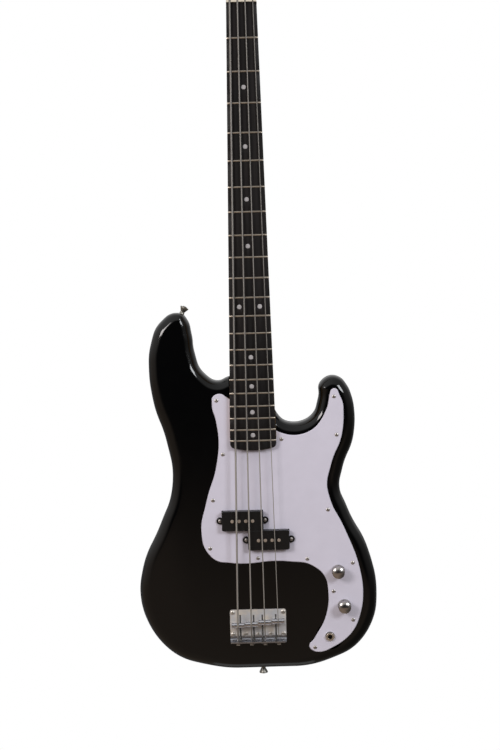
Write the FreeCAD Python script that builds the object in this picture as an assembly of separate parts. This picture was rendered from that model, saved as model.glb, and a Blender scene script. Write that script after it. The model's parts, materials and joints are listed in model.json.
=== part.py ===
import FreeCAD, Part
import math
import os
from FreeCAD import Vector

# Four-string electric bass guitar, standing upright.
# The origin is on the centreline, where the fretboard meets the nut, level with the body's front face.
# Z runs up the neck, Y from the front to the back and X towards the thin strings.

# Scale and strings, from the thickest to the thinnest
SCALE_LENGTH = 863.6
FRET_COUNT = 21
STRING_NAMES = ("e", "a", "d", "g")
E_STRING_THICKNESS = 2.67
A_STRING_THICKNESS = 2.16
D_STRING_THICKNESS = 1.65
G_STRING_THICKNESS = 1.14
NUT_SPACING = 10.6
BRIDGE_SPACING = 19.0
NUT_ACTION = 0.5
BRIDGE_ACTION = 4.4
STRING_SEAT = 0.2
BALL_RADIUS = 2.6
BALL_LENGTH = 5.0

# Fits and cuts
OVERRUN = 3.0
RUNNING_FIT = 0.05
SNUG_FIT = 0.02
HEX_SIDES = 6
NECK_FIT = 0.15
GUARD_FIT = 0.4

# Body
BODY_WIDTH = 338.0
BODY_LENGTH = 510.0
BODY_THICKNESS = 44.5
TAIL_PAST_SCALE = 72.2
FOREARM_ANGLE = 11.0
BELLY_ANGLE = 10.0
CONTOUR_REACH = 600.0
CONTOUR_BLOCK_REACH = 160.0
CONTOUR_OVERHANG = 0.15
CONTOUR_FROM_CENTRE_SHARE = 0.1775

# Roundings of the body's edges, as shares of its width and of its length, of which the smaller counts,
# and the most that the outline's tightest bend leaves room for
BODY_EDGE_SHARES = (0.0325, 0.0215)
CONTOUR_EDGE_SHARES = (0.0296, 0.0196)
BODY_EDGE_BEND_SHARE = 0.93

# Fretboard, frets and inlays
NUT_WIDTH = 42.0
BOARD_END_WIDTH = 65.2
BOARD_PAST_FRET = 13.8
BOARD_RISE = 11.0
BOARD_THICKNESS = 5.0
BOARD_RADIUS = 241.0
BOARD_CORNER = 7.0
BOARD_BOW = 2.9
FRET_WIDTH = 2.5
FRET_HEIGHT = 1.2
FRET_TANG_WIDTH = 0.6
FRET_TANG_DEPTH = 1.6
DOT_RADIUS = 3.2
DOT_DEPTH = 1.6
DOT_PAIR_SPACING = 28.6
SIDE_DOT_RADIUS = 0.9
DOT_FRETS = (3, 5, 7, 9, 12, 15, 17, 19, 21)
OCTAVE_FRET = 12

# Neck
NECK_DEPTH_AT_NUT = 16.0
NECK_DEPTH_AT_HEEL = 18.6
NECK_SHOULDER = 3.0
POCKET_DEPTH = 16.0
HEEL_PAST_BODY = 7.9
HEEL_PAST_FRET = 1.6
HEEL_CORNER = 6.0
HEEL_RAMP_LENGTH = 30.0

# Headstock
HEAD_LENGTH = 218.0
HEAD_WIDTH = 92.0
HEAD_THICKNESS = 14.0
HEAD_STEP = 4.0
HEAD_RAMP_LENGTH = 30.0
HEAD_RAMP_TOP = 22.0
HEAD_STEP_RADIUS = 16.0
HEAD_STEP_TOP = 17.6

# Nut
NUT_THICKNESS = 3.6
NUT_ABOVE_STRING = 0.7
NUT_BEND = 25.0

# Truss rod
ROD_RADIUS = 3.0
ROD_AXIS_DEPTH = 5.0
ROD_END_MARGIN = 14.0
ROD_NUT_RADIUS = 4.0
ROD_NUT_LENGTH = 14.0
ROD_NUT_SOCKET_RADIUS = 2.4
ROD_CHANNEL_CLEARANCE = 0.5

# Neck plate and bolts
PLATE_WIDTH = 51.0
PLATE_END_MARGIN = 6.2
PLATE_THICKNESS = 2.0
PLATE_CORNER = 6.0
PLATE_SHIFT = 2.0
BOLT_SPACING_ACROSS = 38.0
BOLT_SPACING_SHARE = 0.533
BOLT_END_MARGIN = 8.5
BOLT_RADIUS = 2.3
BOLT_HEAD_RADIUS = 4.4
BOLT_HEAD_HEIGHT = 2.4
BOLT_IN_NECK = 14.0

# Pickguard
GUARD_THICKNESS = 2.4
GUARD_BEVEL = 0.8
GUARD_SCREW_RADIUS = 1.4
GUARD_SCREW_LENGTH = 12.0
GUARD_SCREW_HEAD_RADIUS = 2.8
GUARD_SCREW_HEAD_HEIGHT = 1.1
GUARD_SCREW_NECK_GAP = 2.0

# Pickups
PICKUP_LENGTH = 58.0
PICKUP_WIDTH = 28.0
PICKUP_HEIGHT = 9.0
PICKUP_DEPTH = 7.0
PICKUP_WALL = 1.6
PICKUP_CORNER = 2.6
PICKUP_OFFSET = 18.2
PICKUP_FROM_TAIL_SHARE = 0.394722
PICKUP_EAR_RADIUS = 5.0
PICKUP_EAR_HEIGHT = 2.2
PICKUP_EAR_REACH = 2.8
PICKUP_SCREW_RADIUS = 1.4
PICKUP_SCREW_LENGTH = 32.0
PICKUP_SCREW_HEAD_RADIUS = 2.6
PICKUP_SCREW_HEAD_HEIGHT = 1.4
PICKUP_CAVITY_DEPTH = 20.0
PICKUP_CAVITY_MARGIN = 2.0
POLE_COUNT = 4
POLE_RADIUS = 2.4
POLE_SPACING = 9.6
POLE_PROUD = 0.8
BOBBIN_FLANGE = 2.0
BOBBIN_GAP = 1.0
COIL_INSET = 2.5

# Bridge
BRIDGE_WIDTH = 79.5
BRIDGE_LENGTH = 45.5
BRIDGE_THICKNESS = 1.8
BRIDGE_FLANGE_HEIGHT = 15.0
BRIDGE_FRONT_PAST_SCALE = 15.0
BRIDGE_CORNER = 3.0
BRIDGE_BEND = 3.5
BRIDGE_REAR_SCREWS = 5
BRIDGE_SCREW_MARGIN = 4.0
BRIDGE_REAR_SCREW_INSET = 10.0
BRIDGE_SCREW_RADIUS = 1.7
BRIDGE_SCREW_LENGTH = 20.0
BRIDGE_SCREW_HEAD_RADIUS = 3.3
BRIDGE_SCREW_HEAD_HEIGHT = 1.6
STRING_HOLE_HEIGHT = 6.2
STRING_HOLE_CLEARANCE = 0.25

# Saddles and their adjusting screws
SADDLE_RADIUS = 4.0
SADDLE_LENGTH = 17.6
E_SETBACK = 6.6
A_SETBACK = 5.0
D_SETBACK = 2.6
G_SETBACK = 1.4
GRUB_RADIUS = 1.5
GRUB_SPACING = 12.6
GRUB_PROUD = 1.0
GRUB_GAP = 0.1
INTONATION_RADIUS = 1.1
INTONATION_OFFSET = 3.4
INTONATION_TIP_INSET = 5.5
INTONATION_HEAD_RADIUS = 2.4
INTONATION_HEAD_HEIGHT = 1.8
SPRING_WIRE = 0.45
SPRING_CLEARANCE = 0.2
SPRING_COILS = 12
SPRING_END_GAP = 0.3

# Controls
VOLUME_FROM_BODY_CENTRE_SHARE = 0.3410
VOLUME_FROM_TAIL_SHARE = 0.2735
TONE_FROM_BODY_CENTRE_SHARE = 0.3638
TONE_FROM_TAIL_SHARE = 0.176
JACK_FROM_BODY_CENTRE_SHARE = 0.3002
JACK_FROM_TAIL_SHARE = 0.0905
KNOB_RADIUS = 8.7
KNOB_SKIRT_RADIUS = 9.3
KNOB_HEIGHT = 17.0
KNOB_SKIRT_HEIGHT = 2.0
KNOB_DOME = 4.0
KNOB_LIFT = 0.6
KNOB_WALL = 1.6
SHAFT_RADIUS = 3.0
SHAFT_IN_KNOB = 9.0
SHAFT_IN_POT = 3.0
POT_RADIUS = 12.0
POT_DEPTH = 9.0
POT_LUG_WIDTH = 2.4
POT_LUG_THICKNESS = 0.8
POT_LUG_LENGTH = 6.0
POT_LUG_SPACING = 5.0
BUSH_RADIUS = 4.7
CONTROL_NUT_RADIUS = 6.4
CONTROL_NUT_HEIGHT = 2.4
WASHER_RADIUS = 6.9
WASHER_THICKNESS = 0.8
JACK_BORE_RADIUS = 3.25
JACK_LENGTH = 24.0
JACK_FRAME_RADIUS = 9.0
JACK_FRAME_THICKNESS = 1.2
JACK_SPRING_WIDTH = 5.0
JACK_SPRING_THICKNESS = 0.8
JACK_SPRING_GAP = 1.2
CAVITY_DEPTH = 36.0
CAVITY_RADIUS = 19.6
CAVITY_SLOT_RADIUS = 8.0
CHANNEL_RADIUS = 5.0
CHANNEL_DEPTH = 15.0

# Wires and capacitor
WIRE_RADIUS = 0.8
WIRE_BEND = 4.0
TONE_WIRE_LEVEL = 21.0
JACK_WIRE_LEVEL = 31.0
WIRE_SLOT_SHARE = 0.3
CAPACITOR_RADIUS = 4.5
CAPACITOR_THICKNESS = 3.0
LEAD_RADIUS = 0.35

# Strap buttons
STRAP_HEAD_RADIUS = 6.0
STRAP_NECK_RADIUS = 3.0
STRAP_FOOT_RADIUS = 3.8
STRAP_HEIGHT = 10.0
STRAP_NECK_HEIGHT = 3.0
STRAP_RIM = 1.4
STRAP_SCREW_RADIUS = 1.9
STRAP_SCREW_LENGTH = 22.0
STRAP_SCREW_HEAD_RADIUS = 3.4
STRAP_SCREW_HEAD_HEIGHT = 1.4

# Tuners
FIRST_POST_PAST_NUT = 45.0
POST_PITCH = 40.0
POST_RADIUS = 4.75
POST_WAIST_RADIUS = 4.4
POST_TIP_RADIUS = 5.1
POST_TIP_PAST_SLOT = 4.6
SLOT_CLEARANCE = 0.35
WRAP_GAP = 0.3
WRAP_PITCH_GAP = 0.6
WRAP_QUARTERS = (9, 9, 9, 13)
WRAP_BEND_SHARE = 0.46
BUSHING_RADIUS = 6.4
BUSHING_FLANGE_RADIUS = 8.4
BUSHING_FLANGE_HEIGHT = 1.6
BUSHING_LENGTH = 8.0
TUNER_PLATE_THICKNESS = 1.4
TUNER_PLATE_HALF_WIDTH = 11.0
TUNER_PLATE_BELOW = 13.5
TUNER_PLATE_ABOVE = 23.0
TUNER_PLATE_CORNER = 3.0
GEAR_TEETH = 20
GEAR_PITCH_RADIUS = 10.0
GEAR_THICKNESS = 3.2
GEAR_BORE_RADIUS = 3.0
GEAR_COLLAR_RADIUS = 5.6
TOOTH_ADDENDUM = 0.85
TOOTH_FLANK_GAP = 0.3
TOOTH_TIP_GAP = 0.35
FLANK_ANGLE = 20.0
WORM_PITCH_RADIUS = 3.25
WORM_ADDENDUM = 0.95
WORM_TURNS = 4
WORM_CORE_RADIUS = 2.15
KEY_SHAFT_RADIUS = 2.4
LUG_FROM_POST = 7.6
LUG_THICKNESS = 2.4
LUG_HALF_WIDTH = 4.2
LUG_PLAY = 0.1
TUNER_SCREW_RADIUS = 1.2
TUNER_SCREW_LENGTH = 9.0
TUNER_SCREW_HEAD_RADIUS = 2.0
TUNER_SCREW_HEAD_HEIGHT = 1.2
TUNER_SCREW_MARGIN = 2.8
GEAR_SCREW_RADIUS = 1.4
GEAR_SCREW_LENGTH = 5.0
GEAR_SCREW_HEAD_RADIUS = 3.4
GEAR_SCREW_HEAD_HEIGHT = 1.6
KEY_FROM_POST = 25.0
KEY_COLLAR_RADIUS = 4.2
KEY_COLLAR_LENGTH = 4.0
KEY_THICKNESS = 3.4
KEY_SIDE_LOBE_RADIUS = 8.0
KEY_TOP_LOBE_RADIUS = 8.6
KEY_SIDE_LOBE_SPREAD = 7.6
KEY_SIDE_LOBE_REACH = 10.0
KEY_TOP_LOBE_REACH = 18.5
KEY_EDGE_RADIUS = 1.2

# String tree
TREE_PAST_NUT = 70.0
TREE_HEIGHT = 7.6
TREE_DISC_RADIUS = 8.0
TREE_DISC_THICKNESS = 2.2
TREE_DISC_RISE = 1.2
TREE_STEM_RADIUS = 2.6
TREE_SCREW_RADIUS = 1.3
TREE_SCREW_BITE = 9.0
TREE_SCREW_HEAD_RADIUS = 2.6
TREE_SCREW_HEAD_HEIGHT = 1.3
TREE_BEND = 40.0

# Outlines, as shares of the body's width from the centreline and of its length up from the tail
BODY_OUTLINE_SHARES = (
    (0.0165, 0.0), (-0.1798, 0.0055), (-0.3779, 0.0522), (-0.4829, 0.155), (-0.4978, 0.228),
    (-0.4833, 0.287), (-0.3965, 0.42), (-0.356, 0.487), (-0.3435, 0.554), (-0.3655, 0.645),
    (-0.4154, 0.755), (-0.4299, 0.83), (-0.4223, 0.9078), (-0.3799, 0.9738), (-0.3156, 1.0007),
    (-0.2866, 0.9977), (-0.2636, 0.98), (-0.2477, 0.94), (-0.2397, 0.895), (-0.2053, 0.8348),
    (-0.1438, 0.8097), (-0.0969, 0.8203), (-0.0399, 0.829), (0.0399, 0.822), (0.0839, 0.783),
    (0.1009, 0.715), (0.1268, 0.6961), (0.1718, 0.6883), (0.2487, 0.7085), (0.277, 0.7558),
    (0.2856, 0.7964), (0.3355, 0.8163), (0.3992, 0.7911), (0.4274, 0.708), (0.4208, 0.65),
    (0.3707, 0.557), (0.3565, 0.511), (0.39, 0.442), (0.4702, 0.33), (0.5033, 0.22),
    (0.4883, 0.135), (0.4204, 0.063), (0.2796, 0.015),
)
GUARD_OUTLINE_SHARES = (
    (-0.1362, 0.775), (-0.162, 0.7685), (-0.168, 0.745), (-0.1531, 0.7), (-0.1441, 0.645),
    (-0.1561, 0.576), (-0.2018, 0.4775), (-0.2271, 0.395), (-0.2122, 0.3425), (-0.164, 0.3095),
    (-0.1123, 0.3035), (0.1392, 0.3035), (0.2217, 0.2945), (0.2823, 0.262), (0.2987, 0.207),
    (0.2823, 0.141), (0.2366, 0.087), (0.2137, 0.0615), (0.2455, 0.0485), (0.3251, 0.064),
    (0.3927, 0.1), (0.4369, 0.17), (0.4434, 0.2225), (0.4299, 0.285), (0.3693, 0.3965),
    (0.3161, 0.4715), (0.3032, 0.512), (0.3231, 0.575), (0.3693, 0.654), (0.3782, 0.7),
    (0.3693, 0.7555), (0.338, 0.782), (0.3186, 0.766), (0.2982, 0.711), (0.2436, 0.6685),
    (0.171, 0.6555), (0.1093, 0.665), (0.0497, 0.69), (-0.0497, 0.738), (-0.0994, 0.762),
)
GUARD_SCREW_SHARES = (
    (-0.1491, 0.7565), (-0.1282, 0.607), (-0.175, 0.4795), (-0.1924, 0.345), (0.007, 0.315),
    (0.2132, 0.31), (0.1173, 0.6455), (0.34, 0.76), (0.3479, 0.654), (0.3042, 0.446),
    (0.4026, 0.296), (0.3201, 0.217), (0.3991, 0.1355), (0.2366, 0.0605),
)
FOREARM_CREASE_SHARES = ((-0.3678, 0.46), (-0.2783, 0.01))
BELLY_CREASE_SHARES = ((-0.2964, 0.95), (-0.415, 0.30))
TAIL_BUTTON_INDEX = 0
HORN_BUTTON_INDEX = 15
NECK_EDGE_INDEX = 22

# Headstock outline, as shares of its width from the centreline and of its length up from the nut
HEAD_OUTLINE_SHARES = (
    (-0.2229, 0.03), (-0.2234, -0.02), (0, -0.04), (0.2234, -0.02), (0.2229, 0.03), (0.2422, 0.1),
    (0.3261, 0.22), (0.3804, 0.4), (0.4002, 0.6), (0.3952, 0.78), (0.331, 0.93), (0.2124, 1.0),
    (0.0592, 0.965), (-0.0692, 0.87), (-0.2272, 0.60), (-0.3904, 0.33), (-0.425, 0.22), (-0.3558, 0.125),
    (-0.257, 0.075),
)

# Values worked out from the sizes above
STRING_THICKNESSES = (E_STRING_THICKNESS, A_STRING_THICKNESS, D_STRING_THICKNESS, G_STRING_THICKNESS)
SETBACKS = (E_SETBACK, A_SETBACK, D_SETBACK, G_SETBACK)
STRING_COUNT = len(STRING_NAMES)
TAIL = -(SCALE_LENGTH + TAIL_PAST_SCALE)
LAST_FRET = SCALE_LENGTH * (1 - 2 ** (-FRET_COUNT / 12))
BOARD_LENGTH = LAST_FRET + BOARD_PAST_FRET
WOOD_FACE = BOARD_THICKNESS - BOARD_RISE
HEEL_END = -(LAST_FRET + HEEL_PAST_FRET)
BODY_NECK_EDGE = TAIL + BODY_OUTLINE_SHARES[NECK_EDGE_INDEX][1] * BODY_LENGTH
HEEL_TOP = BODY_NECK_EDGE + HEEL_PAST_BODY
BOLT_SPACING_ALONG = BOLT_SPACING_SHARE * (BODY_NECK_EDGE - HEEL_END)
PLATE_LENGTH = BOLT_SPACING_ALONG + 2 * PLATE_END_MARGIN
BODY_EDGE_RADIUS = min(BODY_EDGE_SHARES[0] * BODY_WIDTH, BODY_EDGE_SHARES[1] * BODY_LENGTH)
CONTOUR_EDGE_RADIUS = min(CONTOUR_EDGE_SHARES[0] * BODY_WIDTH, CONTOUR_EDGE_SHARES[1] * BODY_LENGTH)
PICKUP_MIDDLE = TAIL + PICKUP_FROM_TAIL_SHARE * BODY_LENGTH
HEAD_FACE = WOOD_FACE + HEAD_STEP
HEAD_BACK = HEAD_FACE + HEAD_THICKNESS
ROD_AXIS = WOOD_FACE + ROD_AXIS_DEPTH
GUARD_FACE = -GUARD_THICKNESS
PICKUP_FACE = GUARD_FACE - PICKUP_HEIGHT
BRIDGE_TOP = -SCALE_LENGTH + BRIDGE_FRONT_PAST_SCALE
BRIDGE_BOTTOM = BRIDGE_TOP - BRIDGE_LENGTH
BRIDGE_FACE = -BRIDGE_THICKNESS
SPRING_MEAN_RADIUS = INTONATION_RADIUS + SPRING_CLEARANCE + SPRING_WIRE / 2
TOOTH_PITCH = 2 * math.pi * GEAR_PITCH_RADIUS / GEAR_TEETH
WORM_TIP_RADIUS = WORM_PITCH_RADIUS + WORM_ADDENDUM
WORM_CENTRE = GEAR_PITCH_RADIUS + WORM_PITCH_RADIUS
WORM_LENGTH = WORM_TURNS * TOOTH_PITCH
LEAD_ANGLE = math.degrees(math.atan2(TOOTH_PITCH, 2 * math.pi * WORM_PITCH_RADIUS))
TUNER_PLATE_BACK = HEAD_BACK + TUNER_PLATE_THICKNESS
GEAR_PLANE = TUNER_PLATE_BACK + WORM_TIP_RADIUS + TOOTH_TIP_GAP
BACK = Vector(0, 1, 0)
FRONT = Vector(0, -1, 0)
UP = Vector(0, 0, 1)
DOWN = Vector(0, 0, -1)


# Basic forms

def block(across, depth, height):
    """Box between the two limits of X, of Y and of Z."""
    corner = Vector(across[0], depth[0], height[0])
    return Part.makeBox(across[1] - across[0], depth[1] - depth[0], height[1] - height[0], corner)


def rod(start, end, radius):
    """Round bar from one point to another."""
    return Part.makeCylinder(radius, (end - start).Length, start, end - start)


def turned(profile, base, axis):
    """Body of revolution from pairs of radius and distance along the axis."""
    corners = [Vector(radius, 0, along) for radius, along in profile]
    face = Part.Face(Part.makePolygon(corners + corners[:1]))
    solid = face.revolve(Vector(), UP, 360)
    solid.Placement = FreeCAD.Placement(base, FreeCAD.Rotation(UP, axis))
    return solid


def slab(wire, front, back):
    """Plate of a flat outline in the XZ plane, between two depths."""
    face = Part.Face(wire)
    face.translate(Vector(0, front, 0))
    return face.extrude(Vector(0, back - front, 0))


def capsule(start, end, radius, front, back):
    """Round-ended slot cutter between two places of the plan."""
    run = BACK * (back - front)
    level = BACK * front
    side = (end - start).cross(BACK).normalize() * radius
    corners = [start + side, end + side, end - side, start - side]
    solid = Part.Face(Part.makePolygon(corners + corners[:1]))
    solid.translate(level)
    solid = solid.extrude(run)
    for place in (start, end):
        solid = solid.fuse(Part.makeCylinder(radius, back - front, place + level, BACK))
    return solid.removeSplitter()


def screw(seat, axis, shank, head):
    """Plain screw: axis points from the head into the work, shank and head are (radius, length)."""
    head_radius, head_height = head
    shank_radius, shank_length = shank
    profile = ((0, -head_height), (head_radius / 2, -head_height), (head_radius, -head_height / 2),
               (head_radius, 0), (shank_radius, 0), (shank_radius, shank_length), (0, shank_length))
    return turned(profile, seat, axis)


def screw_hole(seat, axis, shank):
    """Clear hole for a screw's shank, open at the seat."""
    radius, length = shank
    return rod(seat - axis * OVERRUN, seat + axis * (length + SNUG_FIT), radius + SNUG_FIT)


def write(name, solids):
    shape = Part.makeCompound(solids) if isinstance(solids, list) else solids
    shape.exportStep("parts/" + name + ".step")


# Curves of tangent arcs

def arc_edge(start, heading, end):
    """Arc that leaves the start along the heading and reaches the end."""
    chord = end - start
    along = chord.dot(heading)
    side = chord - heading * along
    if side.Length < chord.Length * 1e-7:
        return Part.LineSegment(start, end).toShape()
    radius = chord.Length ** 2 / (2 * side.Length)
    half_turn = math.atan2(side.Length, along)
    inward = side.normalize()
    middle = start + heading * (radius * math.sin(half_turn)) + inward * (radius * (1 - math.cos(half_turn)))
    return Part.Arc(start, middle, end).toShape()


def biarc(start, heading, end, end_heading):
    """Two tangent arcs that join two points along their headings."""
    span = end - start
    total = heading + end_heading
    spread = 2 * (1 - heading.dot(end_heading))
    if spread < 1e-9:
        reach = span.dot(span) / (2 * span.dot(total))
    else:
        reach = (math.sqrt(span.dot(total) ** 2 + spread * span.dot(span)) - span.dot(total)) / spread
    first = start + heading * reach
    second = end - end_heading * reach
    joint = (first + second) * 0.5
    return [arc_edge(start, heading, joint), arc_edge(joint, (second - first).normalize(), end)]


def heading_at(before, point, after):
    """Direction at the middle one of three points, along the circle through them."""
    arriving = point - before
    leaving = after - point
    ratio = leaving.Length / arriving.Length
    return (arriving * ratio + leaving * (1 / ratio)).normalize()


def arc_loop(points):
    """Closed smooth outline of arcs through the points."""
    count = len(points)
    headings = [heading_at(points[i - 1], points[i], points[(i + 1) % count]) for i in range(count)]
    edges = []
    for i in range(count):
        after = (i + 1) % count
        edges += biarc(points[i], headings[i], points[after], headings[after])
    return Part.Wire(edges)


def bent_line(points, radii):
    """Edges of straight runs, with a tangent arc of the given radius at each inner point."""
    edges = []
    start = points[0]
    for before, corner, after, radius in zip(points, points[1:], points[2:], radii):
        arriving = (corner - before).normalize()
        leaving = (after - corner).normalize()
        half_turn = math.acos(max(-1.0, min(1.0, arriving.dot(leaving)))) / 2
        reach = radius * math.tan(half_turn)
        edges.append(Part.LineSegment(start, corner - arriving * reach).toShape())
        edges.append(arc_edge(corner - arriving * reach, arriving, corner + leaving * reach))
        start = corner + leaving * reach
    edges.append(Part.LineSegment(start, points[-1]).toShape())
    return edges


def tube(edges, radius):
    """Round tube along an unbroken chain of edges."""
    path = Part.Wire(edges)
    start = edges[0].Vertexes[0].Point
    heading = edges[0].tangentAt(edges[0].FirstParameter)
    if (edges[0].valueAt(edges[0].FirstParameter) - start).Length > radius:
        heading = edges[0].tangentAt(edges[0].LastParameter) * -1
    section = Part.Wire(Part.Circle(start, heading, radius).toShape())
    return path.makePipeShell([section], True, False)


def least_gap(points, thickness, skip):
    """Smallest free space between the turns of a tube, measured on points along it."""
    gaps = [(a - b).Length for i, a in enumerate(points) for b in points[i + skip:]]
    return min(gaps) - thickness


# Places that several pieces share

def body_place(shares):
    return Vector(shares[0] * BODY_WIDTH, 0, TAIL + shares[1] * BODY_LENGTH)


def half_width(height):
    """Half the fretboard's width at a height."""
    return (NUT_WIDTH - (BOARD_END_WIDTH - NUT_WIDTH) * height / BOARD_LENGTH) / 2


def fret_height(number):
    return -SCALE_LENGTH * (1 - 2 ** (-number / 12))


def crown_drop(across):
    """How far the fretboard's face falls away from its middle."""
    return BOARD_RADIUS - math.sqrt(BOARD_RADIUS ** 2 - across ** 2)


def string_lane(index):
    """How far a string stands from the centreline, in string spacings."""
    return index - (STRING_COUNT - 1) / 2


def nut_corner(index):
    """Where a string's middle passes over the fretboard side of the nut."""
    across = string_lane(index) * NUT_SPACING
    height = BOARD_RISE - crown_drop(across) + FRET_HEIGHT + NUT_ACTION + STRING_THICKNESSES[index] / 2
    return Vector(across, -height, 0)


def lane_across(index, height):
    """Where a string stands across the bass at a height."""
    lane = string_lane(index)
    return lane * (NUT_SPACING + (NUT_SPACING - BRIDGE_SPACING) * height / SCALE_LENGTH)


def saddle_corner(index):
    """Where the two straight runs of a string would meet over its saddle."""
    height = -(SCALE_LENGTH + SETBACKS[index])
    across = lane_across(index, height)
    rise = BOARD_RISE - crown_drop(across) + FRET_HEIGHT + BRIDGE_ACTION + STRING_THICKNESSES[index] / 2
    return Vector(across, -rise, height)


def flange_hole(index):
    """Middle of a string's hole, at the back of the bridge flange."""
    return Vector(lane_across(index, BRIDGE_BOTTOM), -STRING_HOLE_HEIGHT, BRIDGE_BOTTOM)


def saddle_bend(index):
    return SADDLE_RADIUS + STRING_SEAT + STRING_THICKNESSES[index] / 2


def saddle_centre(index):
    """Middle of the saddle barrel that carries a string."""
    corner = saddle_corner(index)
    arriving = (corner - flange_hole(index)).normalize()
    leaving = (nut_corner(index) - corner).normalize()
    outward = (arriving - leaving).normalize()
    half_turn = math.acos(arriving.dot(leaving)) / 2
    return corner - outward * (saddle_bend(index) / math.cos(half_turn))


def intonation_across(index):
    """Where a saddle's adjusting screw stands, beside its string on the middle's side."""
    lane = string_lane(index)
    return saddle_centre(index).x - math.copysign(INTONATION_OFFSET, lane)


def wrap_radius(index):
    return POST_WAIST_RADIUS + WRAP_GAP + STRING_THICKNESSES[index] / 2


def post_place(index):
    """Where a tuner's post stands in the headstock."""
    height = FIRST_POST_PAST_NUT + index * POST_PITCH
    return Vector(lane_across(index, height) - wrap_radius(index), 0, height)


def low_turn(index):
    """Depth of the lowest turn of a string on its post."""
    return HEAD_FACE - BUSHING_FLANGE_HEIGHT - WRAP_PITCH_GAP - STRING_THICKNESSES[index] / 2


def wrap_pitch(index):
    return STRING_THICKNESSES[index] + WRAP_PITCH_GAP


def high_turn(index):
    """Depth at which a string enters the slot of its post."""
    return low_turn(index) - wrap_pitch(index) * WRAP_QUARTERS[index] / 4


def tree_places():
    """Where the strings that run under the string tree pass its coned underside."""
    beside = (lane_across(STRING_COUNT - 1, TREE_PAST_NUT) - lane_across(STRING_COUNT - 2, TREE_PAST_NUT)) / 2
    cone_share = (beside - TREE_STEM_RADIUS) / (TREE_DISC_RADIUS - TREE_STEM_RADIUS)
    pressed = HEAD_FACE - TREE_HEIGHT - TREE_DISC_RISE * cone_share + STRING_SEAT
    places = {}
    for index in (STRING_COUNT - 2, STRING_COUNT - 1):
        depth = pressed + STRING_THICKNESSES[index] / 2
        places[index] = Vector(lane_across(index, TREE_PAST_NUT), depth, TREE_PAST_NUT)
    return places


def tree_centre():
    places = list(tree_places().values())
    return Vector((places[0].x + places[1].x) / 2, HEAD_FACE, TREE_PAST_NUT)


def tuner_frame(index):
    """Placement of a tuner: X along its key, Y along the row of posts, Z to the back."""
    row = (post_place(STRING_COUNT - 1) - post_place(0)).normalize()
    key = row.cross(BACK)
    post = post_place(index)
    turn = FreeCAD.Matrix(key.x, row.x, 0, post.x, key.y, row.y, 1, 0, key.z, row.z, 0, post.z, 0, 0, 0, 1)
    return FreeCAD.Placement(turn)


def in_tuner_frame(solid, index):
    solid.Placement = tuner_frame(index).multiply(solid.Placement)
    return solid


def bolt_places():
    """The four neck bolts, on the plane of the body's front face."""
    low = HEEL_END + BOLT_END_MARGIN
    return [
        Vector(side * BOLT_SPACING_ACROSS / 2 - PLATE_SHIFT, 0, low + along * BOLT_SPACING_ALONG)
        for side in (-1, 1) for along in (0, 1)
    ]


def pickup_places():
    """Middles of the two pickup covers."""
    half = PICKUP_WIDTH / 2
    return [
        Vector(-PICKUP_OFFSET, 0, PICKUP_MIDDLE + half),
        Vector(PICKUP_OFFSET, 0, PICKUP_MIDDLE - half),
    ]


def ear_places():
    """Middles of the screw ears, two on each pickup cover."""
    reach = PICKUP_LENGTH / 2 + PICKUP_EAR_REACH
    return [place + Vector(side * reach, 0, 0) for place in pickup_places() for side in (-1, 1)]


def volume_place():
    return body_place((VOLUME_FROM_BODY_CENTRE_SHARE, VOLUME_FROM_TAIL_SHARE))


def tone_place():
    return body_place((TONE_FROM_BODY_CENTRE_SHARE, TONE_FROM_TAIL_SHARE))


def jack_place():
    return body_place((JACK_FROM_BODY_CENTRE_SHARE, JACK_FROM_TAIL_SHARE))


def bridge_screw_places():
    reach = BRIDGE_WIDTH / 2 - BRIDGE_SCREW_MARGIN
    step = 2 * reach / (BRIDGE_REAR_SCREWS - 1)
    rear = BRIDGE_BOTTOM + BRIDGE_REAR_SCREW_INSET
    front = BRIDGE_TOP - BRIDGE_SCREW_MARGIN
    places = [Vector(-reach + step * i, BRIDGE_FACE, rear) for i in range(BRIDGE_REAR_SCREWS)]
    return places + [Vector(side * reach, BRIDGE_FACE, front) for side in (-1, 1)]


def guard_screw_places():
    """Seats of the scratch plate's screws, with every head clear of the neck."""
    clear = half_width(HEEL_END) + GUARD_SCREW_HEAD_RADIUS + GUARD_SCREW_NECK_GAP
    places = [body_place(shares) + FRONT * GUARD_THICKNESS for shares in GUARD_SCREW_SHARES]
    for place in places:
        if place.z > HEEL_END and abs(place.x) < clear:
            place.x = math.copysign(clear, place.x)
    return places


def strap_seats():
    """Seat and outward direction of the tail button and the horn button."""
    seats = []
    for point in (TAIL_BUTTON_INDEX, HORN_BUTTON_INDEX):
        before, here, after = (body_place(BODY_OUTLINE_SHARES[point + step]) for step in (-1, 0, 1))
        outward = FRONT.cross(heading_at(before, here, after))
        seats.append((here + BACK * (BODY_THICKNESS / 2) + outward * SNUG_FIT, outward))
    return seats


GUARD_SCREW = (GUARD_SCREW_RADIUS, GUARD_SCREW_LENGTH)
GUARD_SCREW_HEAD = (GUARD_SCREW_HEAD_RADIUS, GUARD_SCREW_HEAD_HEIGHT)
PICKUP_SCREW = (PICKUP_SCREW_RADIUS, PICKUP_SCREW_LENGTH)
PICKUP_SCREW_HEAD = (PICKUP_SCREW_HEAD_RADIUS, PICKUP_SCREW_HEAD_HEIGHT)
BRIDGE_SCREW = (BRIDGE_SCREW_RADIUS, BRIDGE_SCREW_LENGTH)
BRIDGE_SCREW_HEAD = (BRIDGE_SCREW_HEAD_RADIUS, BRIDGE_SCREW_HEAD_HEIGHT)
STRAP_SCREW = (STRAP_SCREW_RADIUS, STRAP_SCREW_LENGTH)
TREE_SCREW = (TREE_SCREW_RADIUS, TREE_HEIGHT + TREE_DISC_THICKNESS + TREE_SCREW_BITE)
TREE_SCREW_HEAD = (TREE_SCREW_HEAD_RADIUS, TREE_SCREW_HEAD_HEIGHT)
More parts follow.
